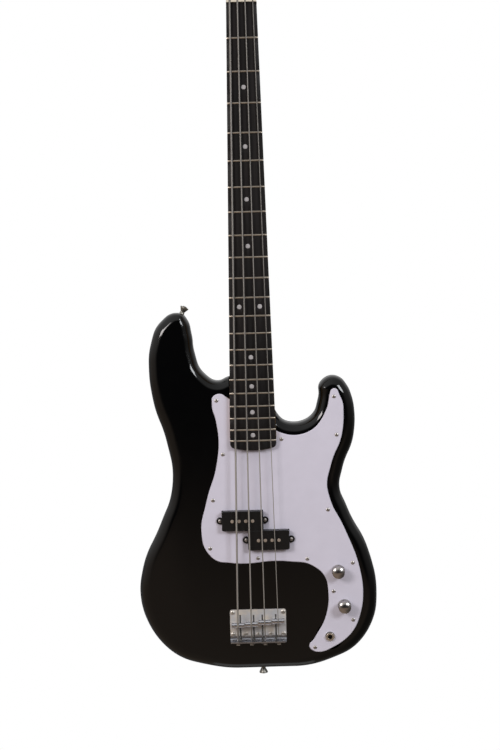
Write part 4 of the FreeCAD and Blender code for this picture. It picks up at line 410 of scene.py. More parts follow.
def plastic(name, colour, roughness, mottle, texture=0.0):
    """Moulded plastic with a faint mottle."""
    paint = Paint(name)
    marks = paint.noise(scale=45.0, detail=4.0)
    tone = paint.blend(marks.between(0.3, 0.7), shade(colour, 1 - mottle), colour)
    paint.set(base_color=tone, roughness=roughness + 0.1 * (marks - 0.5))
    if texture:
        paint.emboss(paint.noise(scale=2200.0, detail=2.0), distance=texture, strength=0.6)
    return paint


def lacquer(name, colour, roughness):
    """Deep polished finish with the faint haze that polishing leaves."""
    paint = plastic(name, colour, roughness, mottle=0.2)
    haze = paint.noise(scale=9.0, detail=5.0)
    return paint.set(specular_ior_level=0.0, coat_weight=0.9 + 0.1 * haze, coat_roughness=0.08, coat_ior=1.45)


def wood(name, early, late, roughness, pores, figure=0.0, gloss=0.5):
    """Wood with its grain up the neck: streaks, fine pores and, for maple, a faint ripple across."""
    paint = Paint(name)
    streaks = paint.noise(scale=150.0, detail=5.0, stretch=(1.0, 1.0, 0.035), roughness=0.6)
    fine = paint.noise(scale=1100.0, detail=3.0, stretch=(1.0, 1.0, 0.025), roughness=0.6)
    tone = paint.blend(streaks.between(0.32, 0.68), early, late)
    tone = paint.blend(pores * fine.between(0.54, 0.72), tone, shade(early, 0.35))
    if figure:
        ripple = paint.noise(scale=30.0, detail=2.0, stretch=(0.4, 0.4, 1.0))
        tone = paint.blend(figure * ripple.between(0.45, 0.65), tone, shade(late, 1.15))
    paint.set(base_color=tone, roughness=roughness + 0.15 * (streaks - 0.5), specular_ior_level=gloss)
    return paint.emboss(fine, distance=0.00012, strength=0.35)


def wound_metal(name, colour, roughness, pitch, axis, depth):
    """Metal with turns of wire or thread along one axis."""
    paint = metal(name, colour, roughness)
    along = paint.split(paint.place)["xyz".index(axis)]
    return paint.emboss((along * (TURN / pitch)).sine(), depth)


def shaded_string(name, colour, shaded_colour, roughness, pitch):
    """Wound wire, painted darker over the fretboard: painted shade there."""
    paint = wound_metal(name, colour, roughness, pitch, axis="z", depth=0.00001)
    share = paint.split(paint.place)[2].between(BOARD_END - SHADE_BELOW, BOARD_END + SHADE_ABOVE)
    return paint.set(base_color=paint.blend(share, colour, shaded_colour))


def knurled_metal(name, colour, roughness, knob):
    """Metal with fine ridges round the side of a knob."""
    paint = metal(name, colour, roughness)
    start, end = box_of(knob)
    centre = (start + end) / 2
    low, high, fade = start.y + KNURL_LOW, end.y - KNURL_HIGH, 0.0006
    across, depth, height = paint.split(paint.place)
    ridge = ((height - centre.z).angle_to(across - centre.x) * float(KNURL_RIDGES)).sine()
    share = depth.between(low, low + fade) * (1 - depth.between(high - fade, high))
    return paint.emboss(ridge * share, distance=0.00012)


def bent_sheet(name, colour, wear_and_reflection, fold_reflection):
    """Plated sheet, dull on its flat with a warm and cool mottle that is partly handling marks and partly
    painted reflection, and darker, bluer and smoother below its fold, where the colour is a painted
    reflection.
    """
    paint = metal(name, colour, 0.6, smear=0.1, wear_and_reflection=wear_and_reflection)
    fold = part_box("bridge_plate")[0][2] + BRIDGE_FOLD
    share = paint.split(paint.place)[2].between(fold, fold + 0.002)
    flat = paint.shader.inputs["Base Color"].links[0].from_socket
    # Below the fold, the darker and bluer colour is a painted reflection.
    tone = paint.blend(share, fold_reflection, Term(paint, flat))
    return paint.set(base_color=tone, roughness=0.24 + 0.36 * share)


# Plain metals by slot: colour, roughness and, where it isn't the usual one, smear
METALS = {
    "screw_steel": ((0.56, 0.525, 0.50), 0.36),
    "fret_nickel": ((0.56, 0.49, 0.41), 0.3),
    "rod_steel": ((0.30, 0.29, 0.28), 0.42),
    "chrome": ((0.68, 0.68, 0.69), 0.09),
    "gear_brass": ((0.62, 0.43, 0.17), 0.3),
    "spring_steel": ((0.24, 0.235, 0.23), 0.3),
    "pole_steel": ((0.62, 0.53, 0.45), 0.5),
    "shaft_brass": ((0.60, 0.45, 0.22), 0.32),
    "pot_steel": ((0.50, 0.49, 0.46), 0.38, 0.12),
    "saddle_nickel": ((0.62, 0.62, 0.66), 0.2),
    # The strap buttons' steel is painted darker than their chrome: painted shade for the dark room that they
    # reflect.
    "button_steel": ((0.30, 0.29, 0.26), 0.42),
    "jack_nickel": ((0.78, 0.68, 0.56), 0.34),
    "bright_screw": ((0.70, 0.66, 0.61), 0.4),
}
# Plastics by slot: colour, roughness, mottle and, for the pickup, the depth of its texture
PLASTICS = {
    "guard_white": ((0.69, 0.66, 0.765), 0.36, 0.03),
    "inlay_pearl": ((0.47, 0.45, 0.46), 0.3, 0.12),
    "nut_bone": ((0.72, 0.66, 0.54), 0.4, 0.08),
    "pickup_black": ((0.006, 0.006, 0.0066), 0.28, 0.1, 0.00001),
    "wire_black": ((0.012, 0.012, 0.013), 0.55, 0.2),
    "capacitor_orange": ((0.55, 0.13, 0.025), 0.4, 0.1),
}


def make_paints():
    """Every material of the bass, named for its slot."""
    for slot, values in METALS.items():
        metal(slot, *values)
    for slot, values in PLASTICS.items():
        plastic(slot, *values)
    lacquer("body_black", (0.0012, 0.0012, 0.0013), 0.25)
    wood("neck_maple", (0.50, 0.30, 0.135), (0.60, 0.385, 0.19), 0.34, pores=0.25, figure=0.5)
    wood("board_dark", (0.0050, 0.0040, 0.0040), (0.0105, 0.0080, 0.0078), 0.5, pores=0.85, gloss=0.22)
    # Second colour: painted reflection in the flat's mottle; third colour: painted reflection below the fold.
    bent_sheet("bridge_nickel", (0.95, 0.88, 0.79), wear_and_reflection=(0.78, 0.78, 0.80), fold_reflection=(0.44, 0.45, 0.49))
    # The second colour is painted shade, on the strings over the fretboard.
    shaded_string("string_steel", (0.43, 0.405, 0.375), (0.245, 0.23, 0.215), 0.55, pitch=0.0006)
    wound_metal("coil_copper", (0.42, 0.16, 0.07), 0.4, pitch=0.0004, axis="y", depth=0.00006)
    wound_metal("thread_steel", (0.17, 0.16, 0.15), 0.3, pitch=0.0007, axis="z", depth=0.0002)
    for name in CONTROLS:
        knurled_metal(name + "_chrome", (0.45, 0.42, 0.405), 0.19, name + "_knob")


# Meshes and pieces

def paint_of(slot):
    """Material of a slot."""
    return bpy.data.materials[slot.replace("_", " ")]


def new_object(name, mesh):
    piece = bpy.data.objects.new(name, mesh)
    bpy.context.scene.collection.objects.link(piece)
    return piece


def from_bmesh(name, form):
    mesh = bpy.data.meshes.new(name)
    form.to_mesh(mesh)
    form.free()
    return new_object(name, mesh)


def settle(piece):
    """Turns a piece with modifiers into a plain mesh."""
    graph = bpy.context.evaluated_depsgraph_get()
    mesh = bpy.data.meshes.new_from_object(piece.evaluated_get(graph))
    piece.modifiers.clear()
    piece.data = mesh
    return piece


def smooth(piece, angle):
    """Shades a piece smooth, apart from the edges sharper than an angle."""
    piece.data.shade_smooth()
    piece.data.set_sharp_from_angle(angle=math.radians(angle))


def body_of(node):
    """Name of the body that carries a CAD node."""
    carrier = frame["nodes"][node].parent
    return next(name for name, empty in frame["bodies"].items() if empty == carrier)


def dress(piece, node, slot, finish=None, across=None):
    """Gives a piece its material and puts it in place of its CAD node, on the node's body, or on no body with
    its place baked in when a span is given.
    """
    piece.data.materials.clear()
    piece.data.materials.append(paint_of(finish or slot))
    if across:
        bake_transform(piece)
    else:
        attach(piece, body_of(node))
    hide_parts(node)


def complete(piece, node, slot, angle, finish=None, across=None):
    """Shades a piece smooth with its flat faces flat, and dresses it."""
    smooth(piece, angle)
    weigh = piece.modifiers.new("even", "WEIGHTED_NORMAL")
    weigh.keep_sharp = True
    settle(piece)
    dress(piece, node, slot, finish, across)


def merged(node, whole=False):
    """Copy of a CAD node's mesh with its triangles joined, and its flat faces whole if asked for."""
    form = bmesh.new()
    form.from_mesh(frame["nodes"][node].data)
    bmesh.ops.remove_doubles(form, verts=form.verts, dist=WELD)
    if whole:
        bmesh.ops.dissolve_limit(form, angle_limit=FLAT, verts=form.verts, edges=form.edges)
    return form


def refined(node, slot, angle=35.0, bevel=0.0, steps=2, finish=None, across=None, whole=False):
    """Replaces a CAD node by a smooth-shaded copy with softened edges."""
    piece = from_bmesh("fine_" + node, merged(node, whole or bevel > 0))
    if bevel:
        soften = piece.modifiers.new("soften", "BEVEL")
        soften.width = bevel
        soften.segments = steps
        soften.limit_method = "ANGLE"
        soften.angle_limit = SHARP
        soften.use_clamp_overlap = True
        settle(piece)
    complete(piece, node, slot, angle, finish, across)


def solids_of(node):
    """Lowest and highest corner of each separate solid of a CAD node."""
    form = merged(node)
    left = set(form.verts)
    boxes = []
    while left:
        reached = [left.pop()]
        for vertex in reached:
            for edge in vertex.link_edges:
                other = edge.other_vert(vertex)
                if other in left:
                    left.remove(other)
                    reached.append(other)
        places = [vertex.co for vertex in reached]
        boxes.append((Vector(map(min, zip(*places))), Vector(map(max, zip(*places)))))
    form.free()
    return sorted(boxes, key=lambda box: tuple(round(value, 6) for value in box[0]))


def turned(name, profile, sides):
    """Closed round piece about Z from pairs of radius and height, from the top down."""
    form = bmesh.new()
    rings = []
    for radius, height in profile:
        if radius == 0:
            rings.append([form.verts.new((0, 0, height))])
            continue
        turns = [TURN * side / sides for side in range(sides)]
        rings.append([form.verts.new((radius * math.cos(a), radius * math.sin(a), height)) for a in turns])
    for upper, lower in zip(rings, rings[1:]):
        for side in range(sides):
            after = (side + 1) % sides
            corners = [upper[side % len(upper)], lower[side % len(lower)],
                       lower[after % len(lower)], upper[after % len(upper)]]
            form.faces.new(dict.fromkeys(corners))
    bmesh.ops.recalc_face_normals(form, faces=form.faces)
    return from_bmesh(name, form)


def box(name, low, high):
    """Box between two corners."""
    form = bmesh.new()
    middle = (Vector(low) + Vector(high)) / 2
    size = Vector(high) - Vector(low)
    bmesh.ops.create_cube(form, size=1.0, matrix=Matrix.Translation(middle) @ Matrix.Diagonal((*size, 1.0)))
    return from_bmesh(name, form)


def join_rings(form, rings):
    """Joins each ring of points to the next with faces."""
    for outer, inner in zip(rings, rings[1:]):
        for i in range(len(outer)):
            after = (i + 1) % len(outer)
            form.faces.new((outer[i], outer[after], inner[after], inner[i]))


def face_front(piece, place):
    """Turns a piece made about Z to face the front, at a place."""
    piece.data.transform(Matrix.Translation(place) @ Matrix.Rotation(QUARTER, 4, "X"))


def throw_away(*pieces):
    for piece in pieces:
        bpy.data.objects.remove(piece)


def cut(piece, cutters):
    """Takes the cutters out of a piece and throws them away."""
    for cutter in cutters:
        take = piece.modifiers.new("cut", "BOOLEAN")
        take.operation = "DIFFERENCE"
        take.solver = "EXACT"
        take.object = cutter
    settle(piece)
    throw_away(*cutters)


# Patterns made by node trees

def node_tree(name, inputs):
    """Empty tree of geometry nodes with named inputs, by kind."""
    tree = bpy.data.node_groups.new(name, "GeometryNodeTree")
    for kind, labels in (("Geometry", ("Geometry",)), *inputs.items(), ("Material", ("Material",))):
        for label in labels:
            tree.interface.new_socket(label, in_out="INPUT", socket_type="NodeSocket" + kind)
    tree.interface.new_socket("Geometry", in_out="OUTPUT", socket_type="NodeSocketGeometry")
    sheet = Sheet(tree)
    entry = tree.nodes.new("NodeGroupInput")
    return sheet, {output.name: Term(sheet, output) for output in entry.outputs if output.name}


def close_tree(sheet, geometry, material):
    """Ends a tree with whole meshes in one material."""
    whole = sheet.add("GeometryNodeRealizeInstances", None, {"Geometry": geometry})
    painted = sheet.add("GeometryNodeSetMaterial", None, {"Geometry": whole, "Material": material})
    end = sheet.tree.nodes.new("NodeGroupOutput")
    sheet.tree.links.new(painted.socket, end.inputs[0])
    return sheet.tree


def run_tree(piece, tree, values):
    """Runs a tree on a piece and keeps the result as a plain mesh."""
    pattern = piece.modifiers.new("pattern", "NODES")
    pattern.node_group = tree
    for item in tree.interface.items_tree:
        if item.in_out == "INPUT" and item.name in values:
            pattern[item.identifier] = values[item.name]
    return settle(piece)


def screw_tree():
    """Tree that sets one screw on every point, turned to its facing and stopped at any angle."""
    sheet, given = node_tree("Screws", {"Object": ("Screw",), "Vector": ("Facing",), "Int": ("Seed",)})
    screw = sheet.add("GeometryNodeObjectInfo", None, {"Object": given["Screw"]}, "Geometry")
    spin = sheet.add("FunctionNodeRandomValue", {"data_type": "FLOAT"},
                     {2: 0.0, 3: TURN, "Seed": given["Seed"]}, 1)
    turn = sheet.add("FunctionNodeAxisAngleToRotation", None, {"Axis": (0.0, 0.0, 1.0), "Angle": spin})
    aim = sheet.add("FunctionNodeAlignRotationToVector", {"axis": "Z"},
                    {"Rotation": turn, "Vector": given["Facing"]})
    placed = sheet.add("GeometryNodeInstanceOnPoints", None,
                       {"Points": given["Geometry"], "Instance": screw, "Rotation": aim})
    return close_tree(sheet, placed, given["Material"])


def fret_tree():
    """Tree that sets a bead at every fret, widens it to the board and bends it to the board's crown."""
    lengths = ("Scale", "Nut width", "End width", "Board length", "Rise", "Crown")
    sheet, given = node_tree("Frets", {"Object": ("Bead",), "Int": ("Count",), "Float": lengths})
    bead = sheet.add("GeometryNodeObjectInfo", None, {"Object": given["Bead"]}, "Geometry")
    line = sheet.add("GeometryNodeMeshLine", None, {"Count": given["Count"], "Offset": (0.0, 0.0, 0.0)})
    number = sheet.add("GeometryNodeInputIndex") + 1.0
    line = sheet.add("GeometryNodeStoreNamedAttribute", {"data_type": "FLOAT", "domain": "POINT"},
                     {"Geometry": line, "Name": "fret", "Value": number})
    beads = sheet.add("GeometryNodeInstanceOnPoints", None, {"Points": line, "Instance": bead})
    beads = sheet.add("GeometryNodeRealizeInstances", None, {"Geometry": beads})
    fret = sheet.add("GeometryNodeInputNamedAttribute", {"data_type": "FLOAT"}, {"Name": "fret"})
    across, depth, height = sheet.split(sheet.add("GeometryNodeInputPosition"))
    along = given["Scale"] * (1.0 - 2.0 ** (fret * (-1.0 / OCTAVE)))
    wider = (given["End width"] - given["Nut width"]) * along / given["Board length"]
    wide = across * ((given["Nut width"] + wider) * 0.5)
    drop = given["Crown"] - (given["Crown"] * given["Crown"] - wide * wide).root()
    moved = sheet.join(wide, depth - given["Rise"] + drop, height - along)
    beads = sheet.add("GeometryNodeSetPosition", None, {"Geometry": beads, "Position": moved})
    return close_tree(sheet, beads, given["Material"])


def screw_mesh(name, sizes, radius, head, shank, length):
    """Domed screw about Z with a cross in its head; its seat is at the origin."""
    dome = [(radius * math.sin(angle), head * math.cos(angle) ** DOME_POWER)
            for angle in map(math.radians, DOME_ANGLES)]
    rim = [(radius, head * RIM_SHARE), (radius, 0.0), (shank, 0.0), (shank, -length), (0, -length)]
    screw = turned(name, dome + rim, sizes.turns)
    wide, reach = sizes.cross_width * radius / 2, sizes.cross_length * radius
    low = head * (1 - sizes.cross_depth)
    cut(screw, [box("slot", (-x, -y, low), (x, y, 2 * head)) for x, y in ((reach, wide), (wide, reach))])
    smooth(screw, angle=40)
    return screw


def set_screws(node, slot, facing, head, sizes, shank=0.5, finish=None):
    """Replaces a CAD node's screws by detailed ones on the same seats; the shank is a share of the radius."""
    boxes = solids_of(node)
    low, high = boxes[0]
    radius = (high.x - low.x) / 2
    screw = screw_mesh("one_" + node, sizes, radius, head, shank * radius, high.y - low.y - head)
    seats = []
    for low, high in boxes:
        depth = low.y + head if facing.y < 0 else high.y - head
        seats.append(((low.x + high.x) / 2, depth, (low.z + high.z) / 2))
    mesh = bpy.data.meshes.new("seats")
    mesh.from_pydata(seats, [], [])
    piece = new_object("fine_" + node, mesh)
    values = {"Screw": screw, "Facing": tuple(facing), "Seed": sizes.seed,
              "Material": paint_of(finish or slot)}
    run_tree(piece, bpy.data.node_groups.get("Screws") or screw_tree(), values)
    throw_away(screw)
    dress(piece, node, slot, finish)


# Outlines

def turned_by(vector, angle):
    return Matrix.Rotation(angle, 2) @ vector


def arc(start, heading, end, spacing):
    """Points and headings along the arc from a start with a heading to an end, without the end."""
    chord = end - start
    half = math.atan2(heading.x * chord.y - heading.y * chord.x, heading.dot(chord))
    count = max(1, round(chord.length * (half / math.sin(half) if abs(half) > STRAIGHT else 1.0) / spacing))
    points = []
    for step in range(count):
        share = step / count
        reach = chord.length * (math.sin(share * half) / math.sin(half) if abs(half) > STRAIGHT else share)
        point = start + turned_by(heading, share * half) * reach
        points.append((point, turned_by(heading, 2 * share * half)))
    return points


def biarc(start, leaving, end, arriving, spacing):
    """Points and headings along two arcs that join two points with their headings."""
    span = end - start
    both = leaving + arriving
    bend = 2 * (1 - leaving.dot(arriving))
    reach = span.dot(span) / (2 * span.dot(both)) if bend < PARALLEL else (
        (math.sqrt(span.dot(both) ** 2 + bend * span.dot(span)) - span.dot(both)) / bend)
    first, second = start + leaving * reach, end - arriving * reach
    joint = (first + second) / 2
    return arc(start, leaving, joint, spacing) + arc(joint, (second - first).normalized(), end, spacing)


def arc_loop(points, spacing):
    """Points and headings round a closed outline of arcs."""
    headings = []
    for before, point, after in zip(points[-1:] + points, points, points[1:] + points[:1]):
        arriving, leaving = point - before, after - point
        ratio = leaving.length / arriving.length
        headings.append((arriving * ratio + leaving / ratio).normalized())
    loop = []
    for i, point in enumerate(points):
        after = (i + 1) % len(points)
        loop += biarc(point, headings[i], points[after], headings[after], spacing)
    return loop


def inside(point, loop):
    """Whether a point lies inside a closed outline."""
    crossings = 0
    for a, b in zip(loop, loop[1:] + loop[:1]):
        if (a.y > point.y) != (b.y > point.y):
            crossings += point.x < a.x + (b.x - a.x) * (point.y - a.y) / (b.y - a.y)
    return crossings % 2 == 1


# Body

def on_body(shares, sizes):
    """Place on the body's face from the shares of an outline."""
    return Vector((shares[0] * sizes.width, BODY_LOW.z + shares[1] * sizes.length))


def contour(point, crease, slope, sizes):
    """How far a contour takes the face down at a point: nothing on the inner side of its crease."""
    upper, lower = (on_body(shares, sizes) for shares in crease)
    along = (lower - upper).normalized()
    past = (point - upper).dot(Vector((along.y, -along.x)))
    return math.tan(slope) * (past + math.hypot(past, sizes.crease)) / 2


def edge_radii(loop, sizes):
    """Rounding at each point of the outline, smaller round the tips of the horns than elsewhere."""
    count = len(loop)
    tight = []
    for i in range(count):
        (before, start), (after, end) = loop[i - 1], loop[(i + 1) % count]
        turn = end.angle_signed(start)
        bend = (after - before).length / abs(turn) if abs(turn) > STRAIGHT else 1.0
        tight.append(min(sizes.edge, sizes.tip_share * bend) if turn < 0 else sizes.edge)
    for _ in range(sizes.evening):
        tight = [min(tight[i], (tight[i - 1] + tight[i] + tight[(i + 1) % count]) / 3) for i in range(count)]
    return tight


def body_side(form, loop, sizes, face, way, crease, slope):
    """Adds one face of the body with its rounded edge, and returns the loop at the edge's foot."""
    steps = [QUARTER * step / sizes.edge_steps for step in range(sizes.edge_steps + 1)]
    radii = edge_radii(loop, sizes)
    rings = []
    for angle in steps:
        ring = []
        for (point, heading), radius in zip(loop, radii):
            place = point - Vector((-heading.y, heading.x)) * radius * (1 - math.cos(angle))
            sink = radius * (1 - math.sin(angle)) + contour(place, crease, slope, sizes)
            ring.append(form.verts.new((place.x, face + way * sink, place.y)))
        rings.append(ring)
    join_rings(form, rings)
    count = len(loop)
    rim = [Vector((vertex.co.x, vertex.co.z)) for vertex in rings[-1]]
    near = KDTree(count)
    for i, point in enumerate(rim):
        near.insert((point.x, point.y, 0), i)
    near.balance()
    grid = []
    low = Vector(map(min, zip(*rim)))
    high = Vector(map(max, zip(*rim)))
    for i in range(int((high.x - low.x) / sizes.grid) + 1):
        for j in range(int((high.y - low.y) / sizes.grid) + 1):
            aside = 0.5 * (j % 2)  # every second row stands half a step aside
            point = low + Vector((i + aside, j)) * sizes.grid
            if near.find((point.x, point.y, 0))[2] > sizes.grid * GRID_MARGIN and inside(point, rim):
                grid.append(point)
    edges = [(i, (i + 1) % count) for i in range(count)]
    filled = delaunay_2d_cdt(rim + grid, edges, [], INSIDE_ONLY, TOUCHING)
    corners = list(rings[-1])
    for point in filled[0][count:]:
        corners.append(form.verts.new((point.x, face + way * contour(point, crease, slope, sizes), point.y)))
    for triangle in filled[2]:
        form.faces.new([corners[i] for i in triangle])
    return rings[0]


def body_cutters(sizes):
    """Forms of the neck pocket, the pickup cavities and the control pockets."""
    over = Vector((sizes.clearance, 0, sizes.clearance))
    heel = box_of("neck")[0].z
    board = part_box("fretboard")
    wide = (board[1][0] - board[0][0]) / 2
    cutters = [box("pocket", Vector((-wide, -sizes.pocket, heel)) - over,
                   (wide + over.x, sizes.pocket, BODY_HIGH.z))]
    margin = over * CAVITY_MARGIN
    for low, high in solids_of("pickup_bobbins"):
        cutters.append(box("cavity", low - margin + FRONT * sizes.pocket,
                           Vector((high.x, sizes.pickup_cavity, high.z)) + margin))
    for node in ("volume_shaft", "tone_shaft", "output_jack"):
        low, high = box_of(node)
        pocket = turned("pocket", ((0, sizes.pocket), (sizes.cavity_radius, sizes.pocket),
                                   (sizes.cavity_radius, -sizes.cavity), (0, -sizes.cavity)), POCKET_SIDES)
        face_front(pocket, ((low.x + high.x) / 2, 0, (low.z + high.z) / 2))
        cutters.append(pocket)
    return cutters


def make_body(sizes):
    """Body from its outline, with both faces, rounded edges, contours and pockets."""
    loop = arc_loop([on_body(shares, sizes) for shares in BODY_OUTLINE], sizes.spacing)
    form = bmesh.new()
    front = body_side(form, loop, sizes, BODY_LOW.y, 1, FOREARM_CREASE, sizes.forearm)
    back = body_side(form, loop, sizes, BODY_HIGH.y, -1, BELLY_CREASE, sizes.belly)
    for i in range(len(loop)):
        after = (i + 1) % len(loop)
        form.faces.new((front[i], back[i], back[after], front[after]))
    bmesh.ops.recalc_face_normals(form, faces=form.faces)
    piece = from_bmesh("fine_body", form)
    cut(piece, body_cutters(sizes))
    complete(piece, "body", "body_black", angle=32)


# Frets, pickguard, strings, knobs, and the operators of every group

def make_frets(sizes):
    """Beads at the frets, each with a round top, sloped ends and a seat in the board."""
    form = bmesh.new()
    half = sizes.fret_width / 2
    rings = []
    for step in range(BEAD_STEPS + 1):
        share = 2 * step / BEAD_STEPS - 1
        slope = sizes.fret_bevel / half if step in (0, BEAD_STEPS) else 0.0
        ring = []
        for side in range(BEAD_SIDES + 1):
            angle = math.pi * side / BEAD_SIDES
            height = sizes.fret_height * math.sin(angle) * (1 - slope)
            ring.append(form.verts.new((share, -height, half * math.cos(angle))))
        ring.append(form.verts.new((share, sizes.tang, -half)))
        ring.append(form.verts.new((share, sizes.tang, half)))
        rings.append(ring)
    join_rings(form, rings)
    form.faces.new(rings[0])
    form.faces.new(rings[-1])
    bmesh.ops.recalc_face_normals(form, faces=form.faces)
    bead = from_bmesh("bead", form)
    smooth(bead, angle=40)
    piece = new_object("fine_frets", bpy.data.meshes.new("frets"))
    values = {"Bead": bead, "Count": sizes.frets, "Scale": sizes.scale, "Nut width": sizes.nut_width,
              "End width": sizes.end_width, "Board length": sizes.board_length, "Rise": sizes.board_rise,
              "Crown": sizes.crown, "Material": paint_of("fret_nickel")}
    run_tree(piece, fret_tree(), values)
    throw_away(bead)
    dress(piece, "frets", "fret_nickel")


def make_guard():
    """Pickguard with its edge eased at the horn and at the tail."""
    form = merged("pickguard", whole=True)
    for place, shift, reach in GUARD_EASES:
        for vertex in form.verts:
            away = math.hypot(vertex.co.x - place[0], vertex.co.z - place[1])
            vertex.co.x += shift * max(0.0, 1 - (away / reach) ** 2) ** 2
    complete(from_bmesh("fine_pickguard", form), "pickguard", "guard_white", angle=30)


def make_string(name):
    """String in two lengths that meet on its saddle, and the spring at the saddle."""
    low, high = box_of("saddle_" + name)
    spring_low, spring_high = box_of("intonation_spring_" + name)
    middle = (low + high) / 2
    still, sliding = body_of("bridge_plate"), body_of("saddle_" + name)
    refined("intonation_spring_" + name, "spring_steel", angle=60,
            across=(still, sliding, UP * spring_low.z, UP * spring_high.z))
    lengths = (("", sliding, still, high.z, high.z + STRING_GIVE),
               ("_tail", still, sliding, spring_low.z, low.z))
    for ending, first, second, start, end in lengths:
        form = merged("string_" + name)
        everything = form.verts[:] + form.edges[:] + form.faces[:]
        bmesh.ops.bisect_plane(form, geom=everything, plane_co=middle, plane_no=UP,
                               clear_outer=bool(ending), clear_inner=not ending)
        bmesh.ops.holes_fill(form, edges=[edge for edge in form.edges if edge.is_boundary])
        complete(from_bmesh("fine_string_" + name + ending, form), "string_" + name, "string_steel", angle=50,
                 across=(first, second, UP * start, UP * end))


def make_knob(name, sizes):
    """Turned knob with a flat crown, in place of a CAD one."""
    low, high = box_of(name + "_knob")
    foot = (high.x - low.x) / 2
    tall = high.y - low.y
    side = foot - sizes.skirt_step
    inner = side - sizes.wall
    ball = (side ** 2 + sizes.crown ** 2) / (2 * sizes.crown)
    bend = sizes.rounding
    start = math.asin((side - bend) / (ball - bend))
    middle = tall - ball + (ball - bend) * math.cos(start)
    shares = [step / sizes.steps for step in range(sizes.steps + 1)]
    tilts = [start * share for share in shares]
    crown = [(ball * math.sin(tilt), tall - ball * (1 - math.cos(tilt))) for tilt in tilts]
    turns = [start + (QUARTER - start) * share for share in shares[1:]]
    rim = [(side - bend + bend * math.sin(turn), middle + bend * math.cos(turn)) for turn in turns]
    step = sizes.skirt_step / 2
    skirt = [(side, sizes.skirt + step), (foot - step, sizes.skirt), (foot, sizes.skirt - step), (foot, 0.0)]
    under = [(inner, 0.0), (inner, sizes.hollow), (0, sizes.hollow)]
    piece = turned("fine_" + name + "_knob", crown + rim + skirt + under, sizes.sides)
    face_front(piece, ((low.x + high.x) / 2, high.y, (low.z + high.z) / 2))
    smooth(piece, angle=40)
    dress(piece, name + "_knob", "chrome", finish=name + "_chrome")


class BASS_OT_body(Operator):
    """Builds the body with its rounded edges and contours"""
    bl_idname = "bass.body"
    bl_label = "Body"

    def execute(self, context):
        make_body(context.scene.bass_body)
        refined("neck_plate", "chrome", bevel=0.0004)
        # The strap buttons' darker finish is painted shade.
        refined("strap_buttons", "chrome", angle=30, finish="button_steel")
        return {"FINISHED"}


class BASS_OT_neck(Operator):
    """Builds the neck, the fretboard, its inlays and the nut"""
    bl_idname = "bass.neck"
    bl_label = "Neck and fretboard"

    def execute(self, context):
        refined("neck", "neck_maple", angle=32, whole=True)
        refined("fretboard", "board_dark", angle=32)
        refined("inlay_dots", "inlay_pearl", angle=40)
        refined("nut", "nut_bone", angle=30, bevel=0.0003)
        refined("truss_rod", "rod_steel", angle=40)
        refined("truss_rod_nut", "rod_steel", angle=40)
        make_frets(context.scene.bass_neck)
        return {"FINISHED"}


class BASS_OT_tuners(Operator):
    """Builds the tuners and the string tree"""
    bl_idname = "bass.tuners"
    bl_label = "Tuners"

    def execute(self, context):
        refined("tuner_plates", "chrome", bevel=0.00025)
        refined("tuner_bushings", "chrome")
        refined("string_tree", "chrome")
        for name in STRINGS:
            refined("tuner_post_" + name, "chrome")
            refined("tuner_gear_" + name, "gear_brass", angle=30)
            refined("tuner_key_" + name, "chrome")
        return {"FINISHED"}


class BASS_OT_strings(Operator):
    """Builds the strings and the springs at the saddles"""
    bl_idname = "bass.strings"
    bl_label = "Strings"

    def execute(self, context):
        for name in STRINGS:
            make_string(name)
        return {"FINISHED"}


class BASS_OT_bridge(Operator):
    """Builds the bridge with its saddles and adjusting screws"""
    bl_idname = "bass.bridge"
    bl_label = "Bridge"

    def execute(self, context):
        refined("bridge_plate", "bridge_nickel", bevel=0.0003)
        for name in STRINGS:
            refined("saddle_" + name, "bridge_nickel", bevel=0.0004, finish="saddle_nickel")
            refined("intonation_screw_" + name, "screw_steel", finish="thread_steel")
        return {"FINISHED"}


class BASS_OT_guard(Operator):
    """Builds the pickguard"""
    bl_idname = "bass.guard"
    bl_label = "Pickguard"

    def execute(self, context):
        make_guard()
        return {"FINISHED"}


class BASS_OT_pickups(Operator):
    """Builds the two halves of the pickup"""
    bl_idname = "bass.pickups"
    bl_label = "Pickups"

    def execute(self, context):
        refined("pickup_covers", "pickup_black", bevel=0.0012, steps=4)
        refined("pickup_poles", "pole_steel", bevel=0.0003)
        refined("pickup_bobbins", "coil_copper")
        return {"FINISHED"}


class BASS_OT_controls(Operator):
    """Builds the knobs, the jack and what is wired behind them"""
    bl_idname = "bass.controls"
    bl_label = "Controls"

    def execute(self, context):
        for name in CONTROLS:
            make_knob(name, context.scene.bass_knobs)
            refined(name + "_shaft", "shaft_brass", angle=40)
        refined("control_nuts", "chrome", angle=30, bevel=0.0002)
        refined("output_jack", "pot_steel", angle=30, bevel=0.0002, finish="jack_nickel")
        refined("potentiometers", "pot_steel")
        refined("wiring", "wire_black", angle=60)
        refined("tone_capacitor", "capacitor_orange", angle=40)
        return {"FINISHED"}


class BASS_OT_screws(Operator):
    """Sets every group of screws by a pattern"""
    bl_idname = "bass.screws"
    bl_label = "Screws"

    def execute(self, context):
        sizes = context.scene.bass_screws
        set_screws("pickguard_screws", "screw_steel", FRONT, sizes.guard_head, sizes)
        set_screws("bridge_screws", "screw_steel", FRONT, sizes.bridge_head, sizes, finish="bright_screw")
        set_screws("pickup_screws", "screw_steel", FRONT, sizes.pickup_head, sizes, shank=0.53)
        set_screws("tuner_plate_screws", "screw_steel", BACK, sizes.tuner_head, sizes, shank=0.58)
        set_screws("neck_bolts", "chrome", BACK, sizes.bolt_head, sizes, finish="screw_steel")
        return {"FINISHED"}


# Studio

